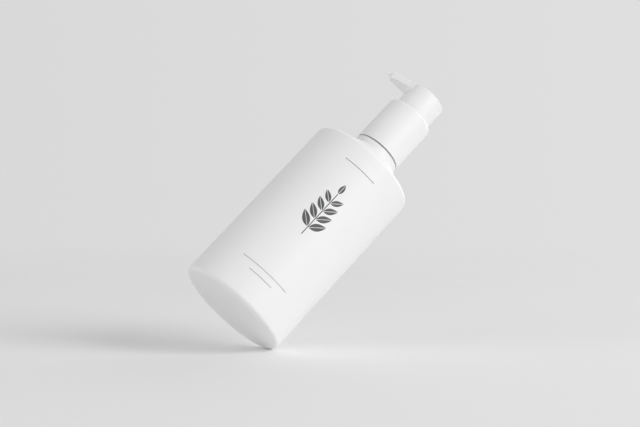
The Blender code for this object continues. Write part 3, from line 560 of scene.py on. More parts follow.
def surface_drift():
    """Return the shared effect that drifts tone and gloss slowly, with sparse faint specks."""
    name = "Surface drift"
    if name in bpy.data.node_groups:
        return bpy.data.node_groups[name]
    inputs = {
        "Vector": "Vector",
        "Color": "Color",
        "Shade": "Color",
        "Patches per metre": "Float",
        "Specks per metre": "Float",
        "Smoothest": "Float",
        "Roughest": "Float",
    }
    tree, given, result = node_group(name, inputs, {"Color": "Color", "Roughness": "Float"})
    patch = noise(tree, given["Vector"], given["Patches per metre"], detail=3.0)
    cells = {"Vector": given["Vector"], "Scale": given["Specks per metre"]}
    cell = add_node(tree, "ShaderNodeTexVoronoi", cells).outputs["Distance"]
    speck = remapped(tree, cell, SPECK_CORE, SPECK_EDGE, SPECK_STRENGTH, 0.0)
    tone = remapped(tree, patch, PATCH_LOW, PATCH_HIGH, 0.0, PATCH_STRENGTH)
    shaded = mixed_colour(tree, arithmetic(tree, "ADD", tone, speck), given["Color"], given["Shade"])
    rough = remapped(tree, patch, PATCH_LOW, PATCH_HIGH, given["Smoothest"], given["Roughest"])
    tree.links.new(shaded, result["Color"])
    tree.links.new(rough, result["Roughness"])
    return tree


def drifting_material(name, tint, shade, roughness, patches, specks):
    """Start a material whose tone and gloss drift, and return it with its tree, shader and place."""
    material = bpy.data.materials.new(name)
    material.use_nodes = True
    tree = material.node_tree
    shader = tree.nodes["Principled BSDF"]
    place = tree.nodes.new("ShaderNodeTexCoord").outputs["Object"]
    red, green, blue, alpha = tint
    sockets = {
        "Vector": place,
        "Color": (red, green, blue, alpha),
        "Shade": (red * shade, green * shade, blue * shade, alpha),
        "Patches per metre": patches,
        "Specks per metre": specks,
        "Smoothest": roughness[0],
        "Roughest": roughness[1],
    }
    drift = add_node(tree, "ShaderNodeGroup", sockets, node_tree=surface_drift())
    tree.links.new(drift.outputs["Color"], shader.inputs["Base Color"])
    tree.links.new(drift.outputs["Roughness"], shader.inputs["Roughness"])
    return material, tree, shader, place


def add_relief(tree, shader, height, depth):
    """Bump a shader by a height socket, whose full range is a real depth in metres."""
    bump = add_node(tree, "ShaderNodeBump", {"Strength": 1.0, "Distance": depth, "Height": height})
    tree.links.new(bump.outputs["Normal"], shader.inputs["Normal"])


def grain_height(tree, place, grains, waves, grain_share):
    """Place the grain effect, and return its height socket."""
    sockets = {
        "Vector": place,
        "Grains per metre": grains,
        "Waves per metre": waves,
        "Grain share": grain_share,
    }
    return add_node(tree, "ShaderNodeGroup", sockets, node_tree=moulded_grain()).outputs["Height"]


def grained_material(name, tint, drift, grain, depth, axial_scale=1.0, metallic=0.0):
    """Return a drifting material with grain, scaled along the axis to draw it out into lines."""
    if name in bpy.data.materials:
        return bpy.data.materials[name]
    material, tree, shader, place = drifting_material(name, tint, **drift)
    shader.inputs["Metallic"].default_value = metallic
    drawn = add_node(tree, "ShaderNodeMapping", {"Vector": place, "Scale": (1.0, 1.0, axial_scale)})
    add_relief(tree, shader, grain_height(tree, drawn.outputs["Vector"], **grain), depth)
    return material


def body_white():
    """Satin blow-moulded white, with the faint ridge where the two mould halves met."""
    drift = dict(shade=0.975, roughness=(0.40, 0.47), patches=26.0, specks=160.0)
    tint = options().finish.body_white
    material, tree, shader, place = drifting_material("Body white", tint, **drift)
    grain = grain_height(tree, place, grains=2400.0, waves=210.0, grain_share=0.45)
    across = add_node(tree, "ShaderNodeSeparateXYZ", {"Vector": place}).outputs["Y"]
    from_line = arithmetic(tree, "ABSOLUTE", across, 0.0)
    ridge = remapped(tree, from_line, 0.0, MOULD_LINE_HALF_WIDTH, MOULD_LINE_RISE, 0.0)
    add_relief(tree, shader, arithmetic(tree, "ADD", grain, ridge), depth=0.000030)
    return material


def cap_white():
    """Smoother injection-moulded white of the sleeve, the head and the spout."""
    drift = dict(shade=0.98, roughness=(0.40, 0.46), patches=40.0, specks=210.0)
    grain = dict(grains=3200.0, waves=320.0, grain_share=0.35)
    return grained_material("Cap white", options().finish.cap_white, drift, grain, depth=0.000016)


def natural_plastic():
    """Milky uncoloured plastic of the pump's inner parts, with faint flow lines."""
    drift = dict(shade=0.93, roughness=(0.26, 0.36), patches=60.0, specks=420.0)
    grain = dict(grains=2600.0, waves=520.0, grain_share=0.3)
    tint = options().finish.natural
    material = grained_material("Natural plastic", tint, drift, grain, depth=0.000014, axial_scale=0.12)
    shader = material.node_tree.nodes["Principled BSDF"]
    shader.inputs["Subsurface Weight"].default_value = 0.15
    shader.inputs["Subsurface Radius"].default_value = (0.0012, 0.0012, 0.0011)
    return material


def gasket_foam():
    """Closed-cell foam of the sealing washer."""
    drift = dict(shade=0.8, roughness=(0.75, 0.88), patches=180.0, specks=900.0)
    material, tree, shader, place = drifting_material("Gasket foam", options().finish.gasket, **drift)
    cells = add_node(tree, "ShaderNodeTexVoronoi", {"Vector": place, "Scale": 3600.0})
    add_relief(tree, shader, cells.outputs["Distance"], depth=0.00006)
    return material


def drawn_steel():
    """Bright drawn wire of the spring, with fine lines along it."""
    drift = dict(shade=0.72, roughness=(0.20, 0.34), patches=300.0, specks=1400.0)
    grain = dict(grains=5200.0, waves=900.0, grain_share=0.7)
    tint = options().finish.steel
    return grained_material(
        "Drawn steel", tint, drift, grain, depth=0.000010, axial_scale=9.0, metallic=1.0
    )


def polished_steel():
    """Polished steel of the valve ball, with faint rubbing marks."""
    drift = dict(shade=0.85, roughness=(0.10, 0.22), patches=700.0, specks=2400.0)
    grain = dict(grains=6000.0, waves=1200.0, grain_share=0.5)
    return grained_material(
        "Polished steel", options().finish.steel, drift, grain, depth=0.000003, metallic=1.0
    )


def printing_ink(name, tint):
    """Flat screen-printing ink, slightly mottled as it dries on plastic."""
    drift = dict(shade=0.82, roughness=(0.42, 0.52), patches=420.0, specks=1900.0)
    grain = dict(grains=4200.0, waves=800.0, grain_share=0.6)
    return grained_material(name, tint, drift, grain, depth=0.000008)


def thread_ridge(root_radius, crest_radius, start_z, turns):
    """Sweep a trapezoid section up a right-handed helix, with both ends sunk into the wall."""
    sizes = options().thread
    root_half = sizes.pitch * sizes.root_share / 2
    crest_half = sizes.pitch * sizes.crest_share / 2
    bm = bmesh.new()
    section = [
        bm.verts.new((root_radius, 0, start_z - root_half)),
        bm.verts.new((crest_radius, 0, start_z - crest_half)),
        bm.verts.new((crest_radius, 0, start_z + crest_half)),
        bm.verts.new((root_radius, 0, start_z + root_half)),
    ]
    bm.faces.new(section)
    steps = round(sizes.steps * turns)
    last = only_verts(swept(bm, bm.verts[:] + bm.edges[:] + bm.faces[:], turns, sizes.pitch, steps))
    last_crest = [vert for vert in last if abs(vert.co.xy.length - crest_radius) < WELD_DISTANCE]
    outward = math.copysign(1, crest_radius - root_radius)
    for vert in section[1:3] + last_crest:
        vert.co.xy *= (root_radius + outward * sizes.bury / 2) / crest_radius
    bmesh.ops.recalc_face_normals(bm, faces=bm.faces)
    return bm


def shoulder(side_radius, edge, end_radius, end_z):
    """List the corners of a shoulder: its rounded edge, then a slope that curves up to the neck."""
    sizes = options().bottle
    slope = sizes.shoulder_slope
    turn = math.pi / 2 - slope
    tangent = edge * math.tan(turn / 2)
    start = Vector(
        (side_radius - edge + edge * math.cos(turn), sizes.side_height + edge * math.sin(turn))
    )
    end = Vector((end_radius, end_z))
    middle_radius = (start.x + end.x) / 2
    middle = Vector((middle_radius, start.y + (start.x - middle_radius) * math.tan(slope)))
    corners = [(side_radius, sizes.side_height + tangent, tangent)]
    for step in range(1, sizes.shoulder_steps + 1):
        along = step / sizes.shoulder_steps
        point = start.lerp(middle, along).lerp(middle.lerp(end, along), along)
        corners.append((point.x, point.y, 0))
    return corners


def dish(base_z, start_radius, end_radius):
    """List the corners of the shallow dish between the axis and the standing ring."""
    sizes = options().bottle
    edge = max(start_radius, end_radius)
    corners = []
    for step in range(sizes.shoulder_steps + 1):
        radius = start_radius + (end_radius - start_radius) * step / sizes.shoulder_steps
        rise = sizes.dish_depth * (1 + math.cos(math.pi * radius / edge)) / 2
        corners.append((radius, base_z + rise, 0))
    return corners


class BOTTLE_OT_shell(bpy.types.Operator):
    """Make the blow-moulded shell with its standing ring, shoulder, neck band and threaded neck"""

    bl_idname = "lotion_bottle.shell"
    bl_label = "Bottle Shell"

    def execute(self, context):
        sizes = options().bottle
        thread = options().thread
        collar_radius = options().collar.radius
        band_base = sizes.side_height + sizes.shoulder_rise
        band_top = SLEEVE_LOW.z + options().collar.foot_lift - sizes.shadow_gap
        rim = BOTTLE_HIGH.z
        inner = sizes.radius - sizes.wall
        bore = sizes.neck_radius - sizes.neck_wall
        dish_edge = sizes.radius - sizes.base_edge - sizes.ring_width
        outer_slope = shoulder(sizes.radius, sizes.shoulder_edge, collar_radius, band_base)
        inner_slope = shoulder(inner, sizes.shoulder_inner_edge, bore, band_base + sizes.wall)
        corners = dish(0, 0, dish_edge)
        corners.append((sizes.radius, 0, sizes.base_edge))
        corners += outer_slope[:-1]
        corners += [
            (collar_radius, band_base, sizes.band_edge),
            (collar_radius, band_top, sizes.band_edge),
            (sizes.neck_radius, band_top, sizes.band_edge),
            (sizes.neck_radius, rim, sizes.rim_edge),
            (bore, rim, sizes.band_edge),
        ]
        corners += reversed(inner_slope)
        corners.append((inner, sizes.base_wall, sizes.base_edge))
        corners += dish(sizes.base_wall, dish_edge, 0)
        shell = loose_object("bottle_shell", turned(corners, sizes.steps))
        root = sizes.neck_radius - thread.bury
        crest = sizes.neck_radius + thread.depth
        start_z = rim - thread.top_inset - thread.bottle_turns * thread.pitch
        combine(shell, thread_ridge(root, crest, start_z, thread.bottle_turns), "UNION")
        finish_piece(shell, body_white(), "bottle")
        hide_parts("bottle")
        return {"FINISHED"}


class BOTTLE_OT_closure(bpy.types.Operator):
    """Make the threaded cap that clamps the pump on the neck"""

    bl_idname = "lotion_bottle.closure"
    bl_label = "Threaded Closure"

    def execute(self, context):
        sizes = options().collar
        thread = options().thread
        outer = CLOSURE_HIGH.x
        bore = outer - sizes.closure_wall
        base = CLOSURE_LOW.z + sizes.foot_lift
        web_base = CLOSURE_HIGH.z - sizes.closure_web
        corners = [
            (bore, base, sizes.closure_edge),
            (outer, base, sizes.closure_edge),
            (outer, CLOSURE_HIGH.z, sizes.closure_top_edge),
            (sizes.closure_hole, CLOSURE_HIGH.z, sizes.closure_edge),
            (sizes.closure_hole, web_base, 0),
            (bore, web_base, sizes.closure_edge),
        ]
        closure = loose_object("threaded_closure", turned(corners, sizes.steps))
        root = bore + thread.bury
        crest = bore - thread.depth
        start_z = BOTTLE_HIGH.z - thread.top_inset - (thread.bottle_turns + THREAD_OFFSET) * thread.pitch
        combine(closure, thread_ridge(root, crest, start_z, thread.closure_turns), "UNION")
        finish_piece(closure, natural_plastic(), "closure")
        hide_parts("closure")
        return {"FINISHED"}


class BOTTLE_OT_sleeve(bpy.types.Operator):
    """Make the tall smooth sleeve over the closure, with its rim and the ribs inside it"""

    bl_idname = "lotion_bottle.sleeve"
    bl_label = "Collar Sleeve"

    def execute(self, context):
        sizes = options().collar
        base = SLEEVE_LOW.z + sizes.foot_lift
        top = SLEEVE_HIGH.z - sizes.top_drop
        bore = sizes.radius - sizes.wall
        hole = bore - sizes.rim_overhang
        under_rim = top - sizes.rim_thickness
        corners = [
            (bore, base, sizes.foot_edge),
            (sizes.radius, base, sizes.foot_edge),
            (sizes.radius, top, sizes.top_edge),
            (hole, top, sizes.rim_edge),
            (hole, under_rim, sizes.rim_edge),
            (bore, under_rim, sizes.rim_edge),
        ]
        sleeve = loose_object("smooth_collar", turned(corners, sizes.steps))
        inner = bore - sizes.rim_overhang * sizes.rib_share
        outer = bore + sizes.wall / 2
        rib_base = CLOSURE_HIGH.z + CLEARANCE
        rib_top = under_rim + sizes.rim_thickness / 2
        size = Matrix.Diagonal((outer - inner, sizes.rib_width, rib_top - rib_base, 1))
        place = Matrix.Translation(((inner + outer) / 2, 0, (rib_base + rib_top) / 2))
        ribs = bmesh.new()
        for rib in range(sizes.rib_count):
            turn = Matrix.Rotation(math.tau * rib / sizes.rib_count, 4, "Z")
            bmesh.ops.create_cube(ribs, size=1, matrix=turn @ place @ size)
        combine(sleeve, ribs, "UNION")
        finish_piece(sleeve, cap_white(), "closure")
        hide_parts("collar_sleeve")
        return {"FINISHED"}


def nozzle_plan():
    """List half of the nozzle's plan, from inside the head to its end, flared at the skirt."""
    sizes = options().head
    fillet = sizes.flank_fillet
    tip = Vector((HEAD_LOW.x, sizes.nozzle_tip))
    along = Vector((math.cos(sizes.nozzle_taper), math.sin(sizes.nozzle_taper)))
    outward = Vector((-along.y, along.x))
    foot = tip + outward * fillet
    reach = sizes.radius - CLEARANCE / 2 + fillet
    run = -foot.dot(along) - math.sqrt(foot.dot(along) ** 2 - foot.length_squared + reach ** 2)
    centre = foot + along * run
    start = math.atan2(-centre.y, -centre.x)
    sweep = math.atan2(-outward.y, -outward.x) - start
    points = [centre * sizes.radius / 2 / reach]
    for step in range(FLARE_STEPS + 1):
        turn = start + sweep * step / FLARE_STEPS
        points.append(centre + Vector((math.cos(turn), math.sin(turn))) * fillet)
    points.append(tip)
    return points


def whole_plan(half):
    """Mirror half a plan across the nozzle's centre line."""
    return half + [Vector((point.x, -point.y)) for point in reversed(half)]


def is_upright(edge):
    """Tell whether an edge of a prism stands upright."""
    first, second = edge.verts
    return abs(first.co.z - second.co.z) > WELD_DISTANCE


def nozzle_wedge():
    """Make the flat tapered nozzle with rounded corners and edges."""
    sizes = options().head
    half = nozzle_plan()
    bm = prism(whole_plan(half), HEAD_HIGH.z - sizes.nozzle_thickness, sizes.nozzle_thickness)
    corners = []
    for edge in bm.edges:
        if is_upright(edge) and abs(edge.verts[0].co.x - HEAD_LOW.x) < WELD_DISTANCE:
            corners.append(edge)
    rounded(bm, corners, sizes.nozzle_corner, NOZZLE_CORNER_SEGMENTS, "EDGES")
    long_edges = []
    for edge in bm.edges:
        first, second = edge.verts
        if not is_upright(edge) and min(first.co.x, second.co.x) < half[0].x - WELD_DISTANCE:
            long_edges.append(edge)
    rounded(bm, long_edges, sizes.nozzle_edge, NOZZLE_EDGE_SEGMENTS, "EDGES")
    bmesh.ops.recalc_face_normals(bm, faces=bm.faces)
    return bm


def root_fillet():
    """Make the quarter-round fillet under the nozzle, along the skirt, a little narrower than it."""
    sizes = options().head
    base = HEAD_HIGH.z - sizes.nozzle_thickness
    foot = base - sizes.root_fillet - FILLET_OVERLAP
    inner = sizes.radius - CLEARANCE
    outer = sizes.radius + sizes.root_fillet + FILLET_OVERLAP
    top = base + sizes.nozzle_edge
    corners = [
        (inner, foot, 0),
        (sizes.radius - FILLET_OVERLAP, foot, 0),
        (sizes.radius, base, sizes.root_fillet),
        (outer, base, 0),
        (outer, top, 0),
        (inner, top, 0),
    ]
    ring = loose_object("root_fillet_ring", turned(corners, sizes.steps))
    inset = sizes.nozzle_edge * FILLET_INSET_SHARE
    half = [Vector((point.x, point.y - inset)) for point in nozzle_plan()]
    combine(ring, prism(whole_plan(half), foot - OVERRUN, sizes.nozzle_thickness), "INTERSECT")
    bm = bmesh.new()
    bm.from_mesh(ring.data)
    bpy.data.objects.remove(ring, do_unlink=True)
    return bm


def head_cavity():
    """Make the hollow between the head's skirt and its stem socket."""
    sizes = options().head
    bore = sizes.radius - sizes.wall
    socket = sizes.stem_hole + sizes.socket_wall
    socket_base = HEAD_LOW.z + sizes.socket_drop
    ceiling = HEAD_HIGH.z - sizes.top_thickness
    corners = [
        (0, HEAD_LOW.z - OVERRUN, 0),
        (bore, HEAD_LOW.z - OVERRUN, 0),
        (bore, ceiling, sizes.top_edge),
        (socket, ceiling, sizes.top_edge),
        (socket, socket_base, sizes.skirt_edge),
        (0, socket_base, 0),
    ]
    return turned(corners, sizes.steps)


class BOTTLE_OT_head(bpy.types.Operator):
    """Make the push head: skirt, top, stem socket, flow duct and flat nozzle in one moulding"""

    bl_idname = "lotion_bottle.head"
    bl_label = "Push Head"

    def execute(self, context):
        sizes = options().head
        steps = sizes.small_steps
        channel_z = (SPOUT_LOW.z + SPOUT_HIGH.z) / 2
        channel = SPOUT_HIGH.y + CLEARANCE
        wall_middle = sizes.radius - sizes.wall / 2
        socket_middle = sizes.stem_hole + sizes.socket_wall / 2
        duct = rod((-1, 0, 0), channel + sizes.duct_wall, socket_middle, wall_middle, steps)
        flow = rod((-1, 0, 0), channel, 0, OVERRUN - HEAD_LOW.x, steps)
        stem_bore = rod((0, 0, 1), sizes.stem_hole, HEAD_LOW.z, channel_z + channel, steps)
        corners = [
            (0, HEAD_LOW.z, 0),
            (sizes.radius, HEAD_LOW.z, sizes.skirt_edge),
            (sizes.radius, HEAD_HIGH.z, sizes.top_edge),
            (0, HEAD_HIGH.z, 0),
        ]
        head = loose_object("push_head", turned(corners, sizes.steps))
        combine(head, nozzle_wedge(), "UNION")
        combine(head, root_fillet(), "UNION")
        combine(head, head_cavity(), "DIFFERENCE")
        combine(head, lifted(duct, channel_z), "UNION")
        combine(head, stem_bore, "DIFFERENCE")
        combine(head, lifted(flow, channel_z), "DIFFERENCE")
        finish_piece(head, cap_white(), "plunger")
        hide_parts("actuator_head")
        return {"FINISHED"}


class BOTTLE_OT_spout(bpy.types.Operator):
    """Make the small round spout that stands out of the nozzle's end"""

    bl_idname = "lotion_bottle.spout"
    bl_label = "Spout"

    def execute(self, context):
        sizes = options().head
        radius = SPOUT_HIGH.y
        corners = [
            (sizes.spout_bore, -SPOUT_HIGH.x, 0),
            (radius, -SPOUT_HIGH.x, sizes.spout_edge),
            (radius, -SPOUT_LOW.x, sizes.spout_edge),
            (sizes.spout_bore, -SPOUT_LOW.x, sizes.spout_edge),
        ]
        bm = turned(corners, sizes.small_steps)
        turn = Matrix.Rotation(-math.pi / 2, 3, "Y")
        bmesh.ops.rotate(bm, verts=bm.verts, cent=(0, 0, 0), matrix=turn)
        spout = loose_object("spout_tip", lifted(bm, (SPOUT_LOW.z + SPOUT_HIGH.z) / 2))
        finish_piece(spout, cap_white(), "plunger")
        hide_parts("nozzle_tube")
        return {"FINISHED"}


class BOTTLE_OT_spring(bpy.types.Operator):
    """Make the return spring from one unbroken wire"""

    bl_idname = "lotion_bottle.spring"
    bl_label = "Return Spring"

    def execute(self, context):
        sizes = options().spring
        wire = sizes.wire_radius
        ends = (sizes.end_turns, 2 * wire + sizes.end_gap)
        middle_turns = sizes.turns - 2 * sizes.end_turns
        travel = SPRING_HIGH.z - SPRING_LOW.z - 2 * wire
        middle = (middle_turns, (travel - 2 * ends[0] * ends[1]) / middle_turns)
        upright = Matrix.Rotation(math.pi / 2, 4, "X")
        place = Matrix.Translation((SPRING_HIGH.x - wire, 0, SPRING_LOW.z + wire)) @ upright
        bm = bmesh.new()
        bmesh.ops.create_circle(bm, cap_ends=True, segments=sizes.wire_steps, radius=wire, matrix=place)
        section = bm.verts[:] + bm.edges[:] + bm.faces[:]
        for turns, pitch in (ends, middle, ends):
            section = swept(bm, section, turns, pitch, sizes.turn_steps * turns)
        bmesh.ops.recalc_face_normals(bm, faces=bm.faces)
        spring = loose_object("coil_spring", bm)
        finish_piece(spring, drawn_steel(), "pump")
        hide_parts("return_spring")
        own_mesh(spring)
        return {"FINISHED"}


class BOTTLE_OT_pump(bpy.types.Operator):
    """Give the pump's inner parts their finishes"""

    bl_idname = "lotion_bottle.pump"
    bl_label = "Pump Parts"

    def execute(self, context):
        finishes = {
            "pump_housing": natural_plastic(),
            "stem_guide": natural_plastic(),
            "ball_cage": natural_plastic(),
            "dip_tube": natural_plastic(),
            "stem": natural_plastic(),
            "stem_plug": natural_plastic(),
            "piston": cap_white(),
            "neck_gasket": gasket_foam(),
            "inlet_ball": polished_steel(),
        }
        for node, material in finishes.items():
            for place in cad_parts[node].material_slots:
                place.material = material
        return {"FINISHED"}


def leaf(bm, place, scale):
    """Add one pointed leaf to a flat design, as two halves beside its bare middle vein."""
    sizes = options().motif
    for side in (-1, 1):
        made = bmesh.ops.create_circle(bm, cap_ends=True, segments=sizes.leaf_steps, radius=0.5)
        lower = [vert for vert in made["verts"] if vert.co.y < -WELD_DISTANCE]
        upper = [vert for vert in made["verts"] if vert.co.y >= -WELD_DISTANCE]
        bmesh.ops.dissolve_verts(bm, verts=lower)
        for vert in upper:
            along = vert.co.x
            arched = vert.co.y > WELD_DISTANCE
            bulge = (1 - (2 * along) ** 2) * (1 - LEAF_SKEW * along) if arched else 0
            across = sizes.vein_gap / 2 + bulge * sizes.leaf_width * scale / 2
            vert.co = ((along + 0.5) * sizes.leaf_length * scale, side * across, 0)
        bmesh.ops.transform(bm, matrix=place, verts=upper)


def bar(bm, y, width, height):
    """Add a plain bar to a flat design."""
    place = Matrix.Translation((0, y, 0)) @ Matrix.Diagonal((width, height, 1, 1))
    bmesh.ops.create_grid(bm, x_segments=1, y_segments=1, size=0.5, matrix=place)


def sprig_design():
    """Draw the sprig flat: a thin stem, pairs of leaves and one leaf at its top."""
    sizes = options().motif
    bm = bmesh.new()
    bar(bm, 0, sizes.stem_width, sizes.sprig_length)
    low = -sizes.sprig_length / 2
    beside_stem = Matrix.Translation((sizes.leaf_start, 0, 0))
    for pair in range(sizes.leaf_pairs):
        scale = 1 + (sizes.top_share - 1) * (pair + 1) / (sizes.leaf_pairs + 1)
        along = FIRST_LEAVES_SHARE + LEAVES_SHARE * pair / sizes.leaf_pairs
        foot = Matrix.Translation((0, low + sizes.sprig_length * along, 0))
        for side in (-1, 1):
            turn = Matrix.Rotation(math.pi / 2 - side * sizes.leaf_angle, 4, "Z")
            leaf(bm, foot @ turn @ beside_stem, scale)
    crown = Matrix.Translation((0, sizes.vein_gap - low, 0)) @ Matrix.Rotation(math.pi / 2, 4, "Z")
    leaf(bm, crown, sizes.top_share)
    return bm


def printed(name, bm, height, material):
    """Cut a flat design into strips, thicken it and lay it round the body at a height."""
    sizes = options().motif
    radius = options().bottle.radius
    facing = options().stage.azimuth - math.pi / 2
    reach = max(abs(vert.co.x) for vert in bm.verts)
    strips = math.ceil(reach / sizes.strip)
    for strip in range(-strips, strips + 1):
        bmesh.ops.bisect_plane(
            bm,
            geom=bm.verts[:] + bm.edges[:] + bm.faces[:],
            dist=WELD_DISTANCE,
            plane_co=(strip * sizes.strip, 0, 0),
            plane_no=(1, 0, 0),
        )
    bmesh.ops.remove_doubles(bm, verts=bm.verts, dist=CUT_WELD)
    bm.normal_update()
    bmesh.ops.reverse_faces(bm, faces=[face for face in bm.faces if face.normal.z < 0])
    thicken(bm, sizes.proud + sizes.sunk)
    for vert in bm.verts:
        turn = facing + vert.co.x / radius
        out = radius - sizes.sunk + vert.co.z
        vert.co = (out * math.cos(turn), out * math.sin(turn), height + vert.co.y)
    finish_piece(loose_object(name, bm), material, "bottle")


class BOTTLE_OT_motif(bpy.types.Operator):
    """Print a plain leaf sprig and a few fine rules on the front"""

    bl_idname = "lotion_bottle.motif"
    bl_label = "Printed Sprig"

    def execute(self, context):
        sizes = options().motif
        dark = printing_ink("Dark ink", options().finish.ink)
        pale = printing_ink("Pale ink", options().finish.pale_ink)
        printed("sprig_print", sprig_design(), sizes.centre_height, dark)
        upper = bmesh.new()
        bar(upper, 0, sizes.upper_rule_length, sizes.rule_thickness)
        printed("upper_rule", upper, sizes.upper_rule_height, dark)
        lower = bmesh.new()
        bar(lower, 0, sizes.lower_rule_length, sizes.rule_thickness)
        bar(lower, -sizes.rule_gap, sizes.short_rule_length, sizes.rule_thickness)
        printed("lower_rules", lower, sizes.lower_rule_height, pale)
        return {"FINISHED"}


def camera_axes():
    """Work out which way the image's right, its top and the line of sight point."""
    stage = options().stage
    flat = math.cos(stage.elevation)
    back = Vector(
        (math.sin(stage.azimuth) * flat, -math.cos(stage.azimuth) * flat, math.sin(stage.elevation))
    )
    level_right = Vector((math.cos(stage.azimuth), math.sin(stage.azimuth), 0))
    level_up = back.cross(level_right)
    right = level_right * math.cos(stage.roll) + level_up * math.sin(stage.roll)
    up = level_up * math.cos(stage.roll) - level_right * math.sin(stage.roll)
    return right, up, -back


def floor_axes():
    """Work out the floor's upward direction, and the direction along it away from the camera."""
    pitch = options().stage.pitch
    up, forward = camera_axes()[1:]
    normal = up * math.cos(pitch) - forward * math.sin(pitch)
    away = forward * math.cos(pitch) + up * math.sin(pitch)
    return normal, away


def add_camera():
    """Put the camera where the base's centre falls on its place in the image."""
    stage = options().stage
    right, up, forward = camera_axes()
    across = (BASE_CENTRE_X_PX - IMAGE_WIDTH_PX / 2) / FOCAL_LENGTH_PX * stage.base_distance
    down = (BASE_CENTRE_Y_PX - IMAGE_HEIGHT_PX / 2) / FOCAL_LENGTH_PX * stage.base_distance
    data = bpy.data.cameras.new("studio_camera")
    data.sensor_fit = "HORIZONTAL"
    data.sensor_width = SENSOR_WIDTH_MM
    data.lens = FOCAL_LENGTH_PX * SENSOR_WIDTH_MM / IMAGE_WIDTH_PX
    data.clip_start = NEAREST_SEEN
    camera = linked_object("studio_camera", data)
    turn = Matrix((right, up, -forward)).transposed().to_4x4()
    place = -forward * stage.base_distance - right * across + up * down
    camera.matrix_world = Matrix.Translation(place) @ turn
    bpy.context.scene.camera = camera


def add_lamp(name, bearing, elevation, spread, brightness):
    """Add one soft round lamp that faces the bottle from its bearing over the floor."""
    distance = options().stage.lamp_distance
    normal, away = floor_axes()
    right = camera_axes()[0]
    level_way = right * math.cos(bearing) - away * math.sin(bearing)
    way = level_way * math.cos(elevation) + normal * math.sin(elevation)
    data = bpy.data.lights.new(name, "AREA")
    data.shape = "DISK"
    data.size = 2 * distance * math.tan(spread)
    data.energy = brightness * math.pi ** 2 * distance ** 2
    lamp = linked_object(name, data)
    middle = Vector((0, 0, HEAD_HIGH.z / 2))
    turn = way.to_track_quat("Z", "Y").to_matrix().to_4x4()
    lamp.matrix_world = Matrix.Translation(middle + way * distance) @ turn


def floor_finish():
    """Pale matt floor that fades into the backdrop, and is clear when seen from below."""
    stage = options().stage
    drift = dict(shade=0.995, roughness=(0.85, 0.95), patches=3.0, specks=12.0)
    material, tree, shader, place = drifting_material("Studio floor", stage.floor_colour, **drift)
    distance = add_node(tree, "ShaderNodeVectorMath", {0: place}, operation="LENGTH").outputs["Value"]
    ends = (stage.fade_start, stage.fade_end)
    fade = remapped(tree, distance, *ends, 0.0, 1.0, interpolation_type="SMOOTHSTEP")
    behind = tree.nodes.new("ShaderNodeNewGeometry").outputs["Backfacing"]
    seen = tree.nodes.new("ShaderNodeLightPath").outputs["Is Camera Ray"]
    below = arithmetic(tree, "MULTIPLY", behind, seen)
    clear = arithmetic(tree, "MAXIMUM", fade, below)
    mix = add_node(tree, "ShaderNodeMixShader", {0: clear, 1: shader.outputs["BSDF"]})
    tree.links.new(tree.nodes.new("ShaderNodeBsdfTransparent").outputs["BSDF"], mix.inputs[2])
    tree.links.new(mix.outputs["Shader"], tree.nodes["Material Output"].inputs["Surface"])
    return material


def add_floor():
    """Add the floor under the lowest point of the bottle's base, which leans on its rim."""
    edge = options().bottle.base_edge
    normal = floor_axes()[0]
    lean = Vector((normal.x, normal.y)).normalized()
    ring_middle = options().bottle.radius - edge
    centre = Vector((-lean.x * ring_middle, -lean.y * ring_middle, edge))
    contact = centre - normal * edge
    turn = normal.to_track_quat("Z", "Y").to_matrix().to_4x4()
    place = Matrix.Translation(contact - normal * FLOOR_GAP) @ turn
    radius = options().stage.floor_radius
    bm = bmesh.new()
    bmesh.ops.create_circle(bm, cap_ends=True, segments=FLOOR_STEPS, radius=radius, matrix=place)
    floor = loose_object("studio_floor", bm)
    floor.data.materials.append(floor_finish())


def along_way(tree, axis, start, end):
    """Return how far the sky's direction leans along an axis, from nothing at start to one at end."""
    way = tree.nodes.new("ShaderNodeTexCoord").outputs["Generated"]
    lean = add_node(tree, "ShaderNodeVectorMath", {0: way, 1: axis}, operation="DOT_PRODUCT")
    return remapped(tree, lean.outputs["Value"], start, end, 0.0, 1.0)


def add_world():
    """Light the scene evenly, and show the pale backdrop to the camera and in reflections."""
    stage = options().stage
    world = bpy.data.worlds.new("Studio backdrop")
    world.use_nodes = True
    bpy.context.scene.world = world
    tree = world.node_tree
    right = camera_axes()[0]
    half_view = IMAGE_WIDTH_PX / 2 / FOCAL_LENGTH_PX
    across = along_way(tree, right, -half_view, half_view)
    backdrop = mixed_colour(tree, across, tuple(stage.backdrop_left), tuple(stage.backdrop_right))
    far_across = along_way(tree, right, half_view, stage.side_reach)
    backdrop = mixed_colour(tree, far_across, backdrop, tuple(stage.backdrop_side))
    ambient = (stage.ambient, stage.ambient, stage.ambient, 1.0)
    path = tree.nodes.new("ShaderNodeLightPath").outputs
    seen = arithmetic(tree, "MAXIMUM", path["Is Camera Ray"], path["Is Glossy Ray"])
    seen = arithmetic(tree, "MAXIMUM", seen, path["Is Transmission Ray"])
    lit = mixed_colour(tree, seen, ambient, backdrop)
    tree.links.new(lit, tree.nodes["Background"].inputs["Color"])


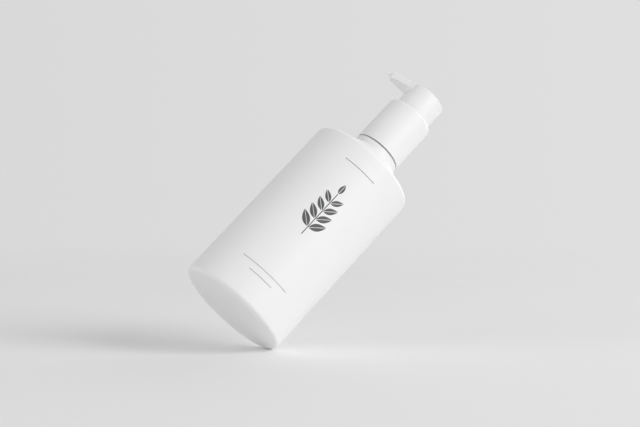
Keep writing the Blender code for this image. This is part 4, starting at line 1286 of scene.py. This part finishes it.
class BOTTLE_OT_stage(bpy.types.Operator):
    """Set up the camera, the pale floor, the backdrop and the soft lamps"""

    bl_idname = "lotion_bottle.stage"
    bl_label = "Studio Stage"

    def execute(self, context):
        stage = options().stage
        context.scene.view_settings.view_transform = "Standard"
        add_camera()
        add_floor()
        add_world()
        add_lamp("key_lamp", stage.key_bearing, stage.key_elevation, stage.key_spread, stage.key_level)
        add_lamp("fill_lamp", stage.fill_bearing, stage.fill_elevation, stage.fill_spread, stage.fill_level)
        add_lamp("rim_lamp", stage.rim_bearing, stage.rim_elevation, stage.rim_spread, stage.rim_level)
        return {"FINISHED"}


class BOTTLE_PT_panel(bpy.types.Panel):
    """List the steps that build the bottle, with their settings"""

    bl_label = "Lotion Bottle"
    bl_idname = "BOTTLE_PT_panel"
    bl_space_type = "VIEW_3D"
    bl_region_type = "UI"
    bl_category = "Bottle"

    def draw(self, context):
        for operator, group in STEPS:
            self.layout.operator(operator.bl_idname)
            settings = getattr(options(), group)
            box = self.layout.box()
            for name in settings.__annotations__:
                box.prop(settings, name)


STEPS = (
    (BOTTLE_OT_stage, "stage"),
    (BOTTLE_OT_shell, "bottle"),
    (BOTTLE_OT_closure, "thread"),
    (BOTTLE_OT_sleeve, "collar"),
    (BOTTLE_OT_head, "head"),
    (BOTTLE_OT_spout, "head"),
    (BOTTLE_OT_spring, "spring"),
    (BOTTLE_OT_pump, "finish"),
    (BOTTLE_OT_motif, "motif"),
)

CLASSES = (
    BottleSizes,
    ThreadSizes,
    CollarSizes,
    HeadSizes,
    SpringSizes,
    MotifSizes,
    Finishes,
    StageSettings,
    LotionBottleSettings,
    *(operator for operator, group in STEPS),
    BOTTLE_PT_panel,
)


def register():
    """Register the classes and hang the settings on the scene."""
    for item in CLASSES:
        bpy.utils.register_class(item)
    bpy.types.Scene.lotion_bottle = PointerProperty(type=LotionBottleSettings)


def unregister():
    """Take the settings and the classes away again."""
    del bpy.types.Scene.lotion_bottle
    for item in reversed(CLASSES):
        bpy.utils.unregister_class(item)


def main():
    """Build the stage and every piece."""
    register()
    bpy.ops.lotion_bottle.stage()
    bpy.ops.lotion_bottle.shell()
    bpy.ops.lotion_bottle.closure()
    bpy.ops.lotion_bottle.sleeve()
    bpy.ops.lotion_bottle.head()
    bpy.ops.lotion_bottle.spout()
    bpy.ops.lotion_bottle.spring()
    bpy.ops.lotion_bottle.pump()
    bpy.ops.lotion_bottle.motif()


if __name__ == "__main__":
    main()
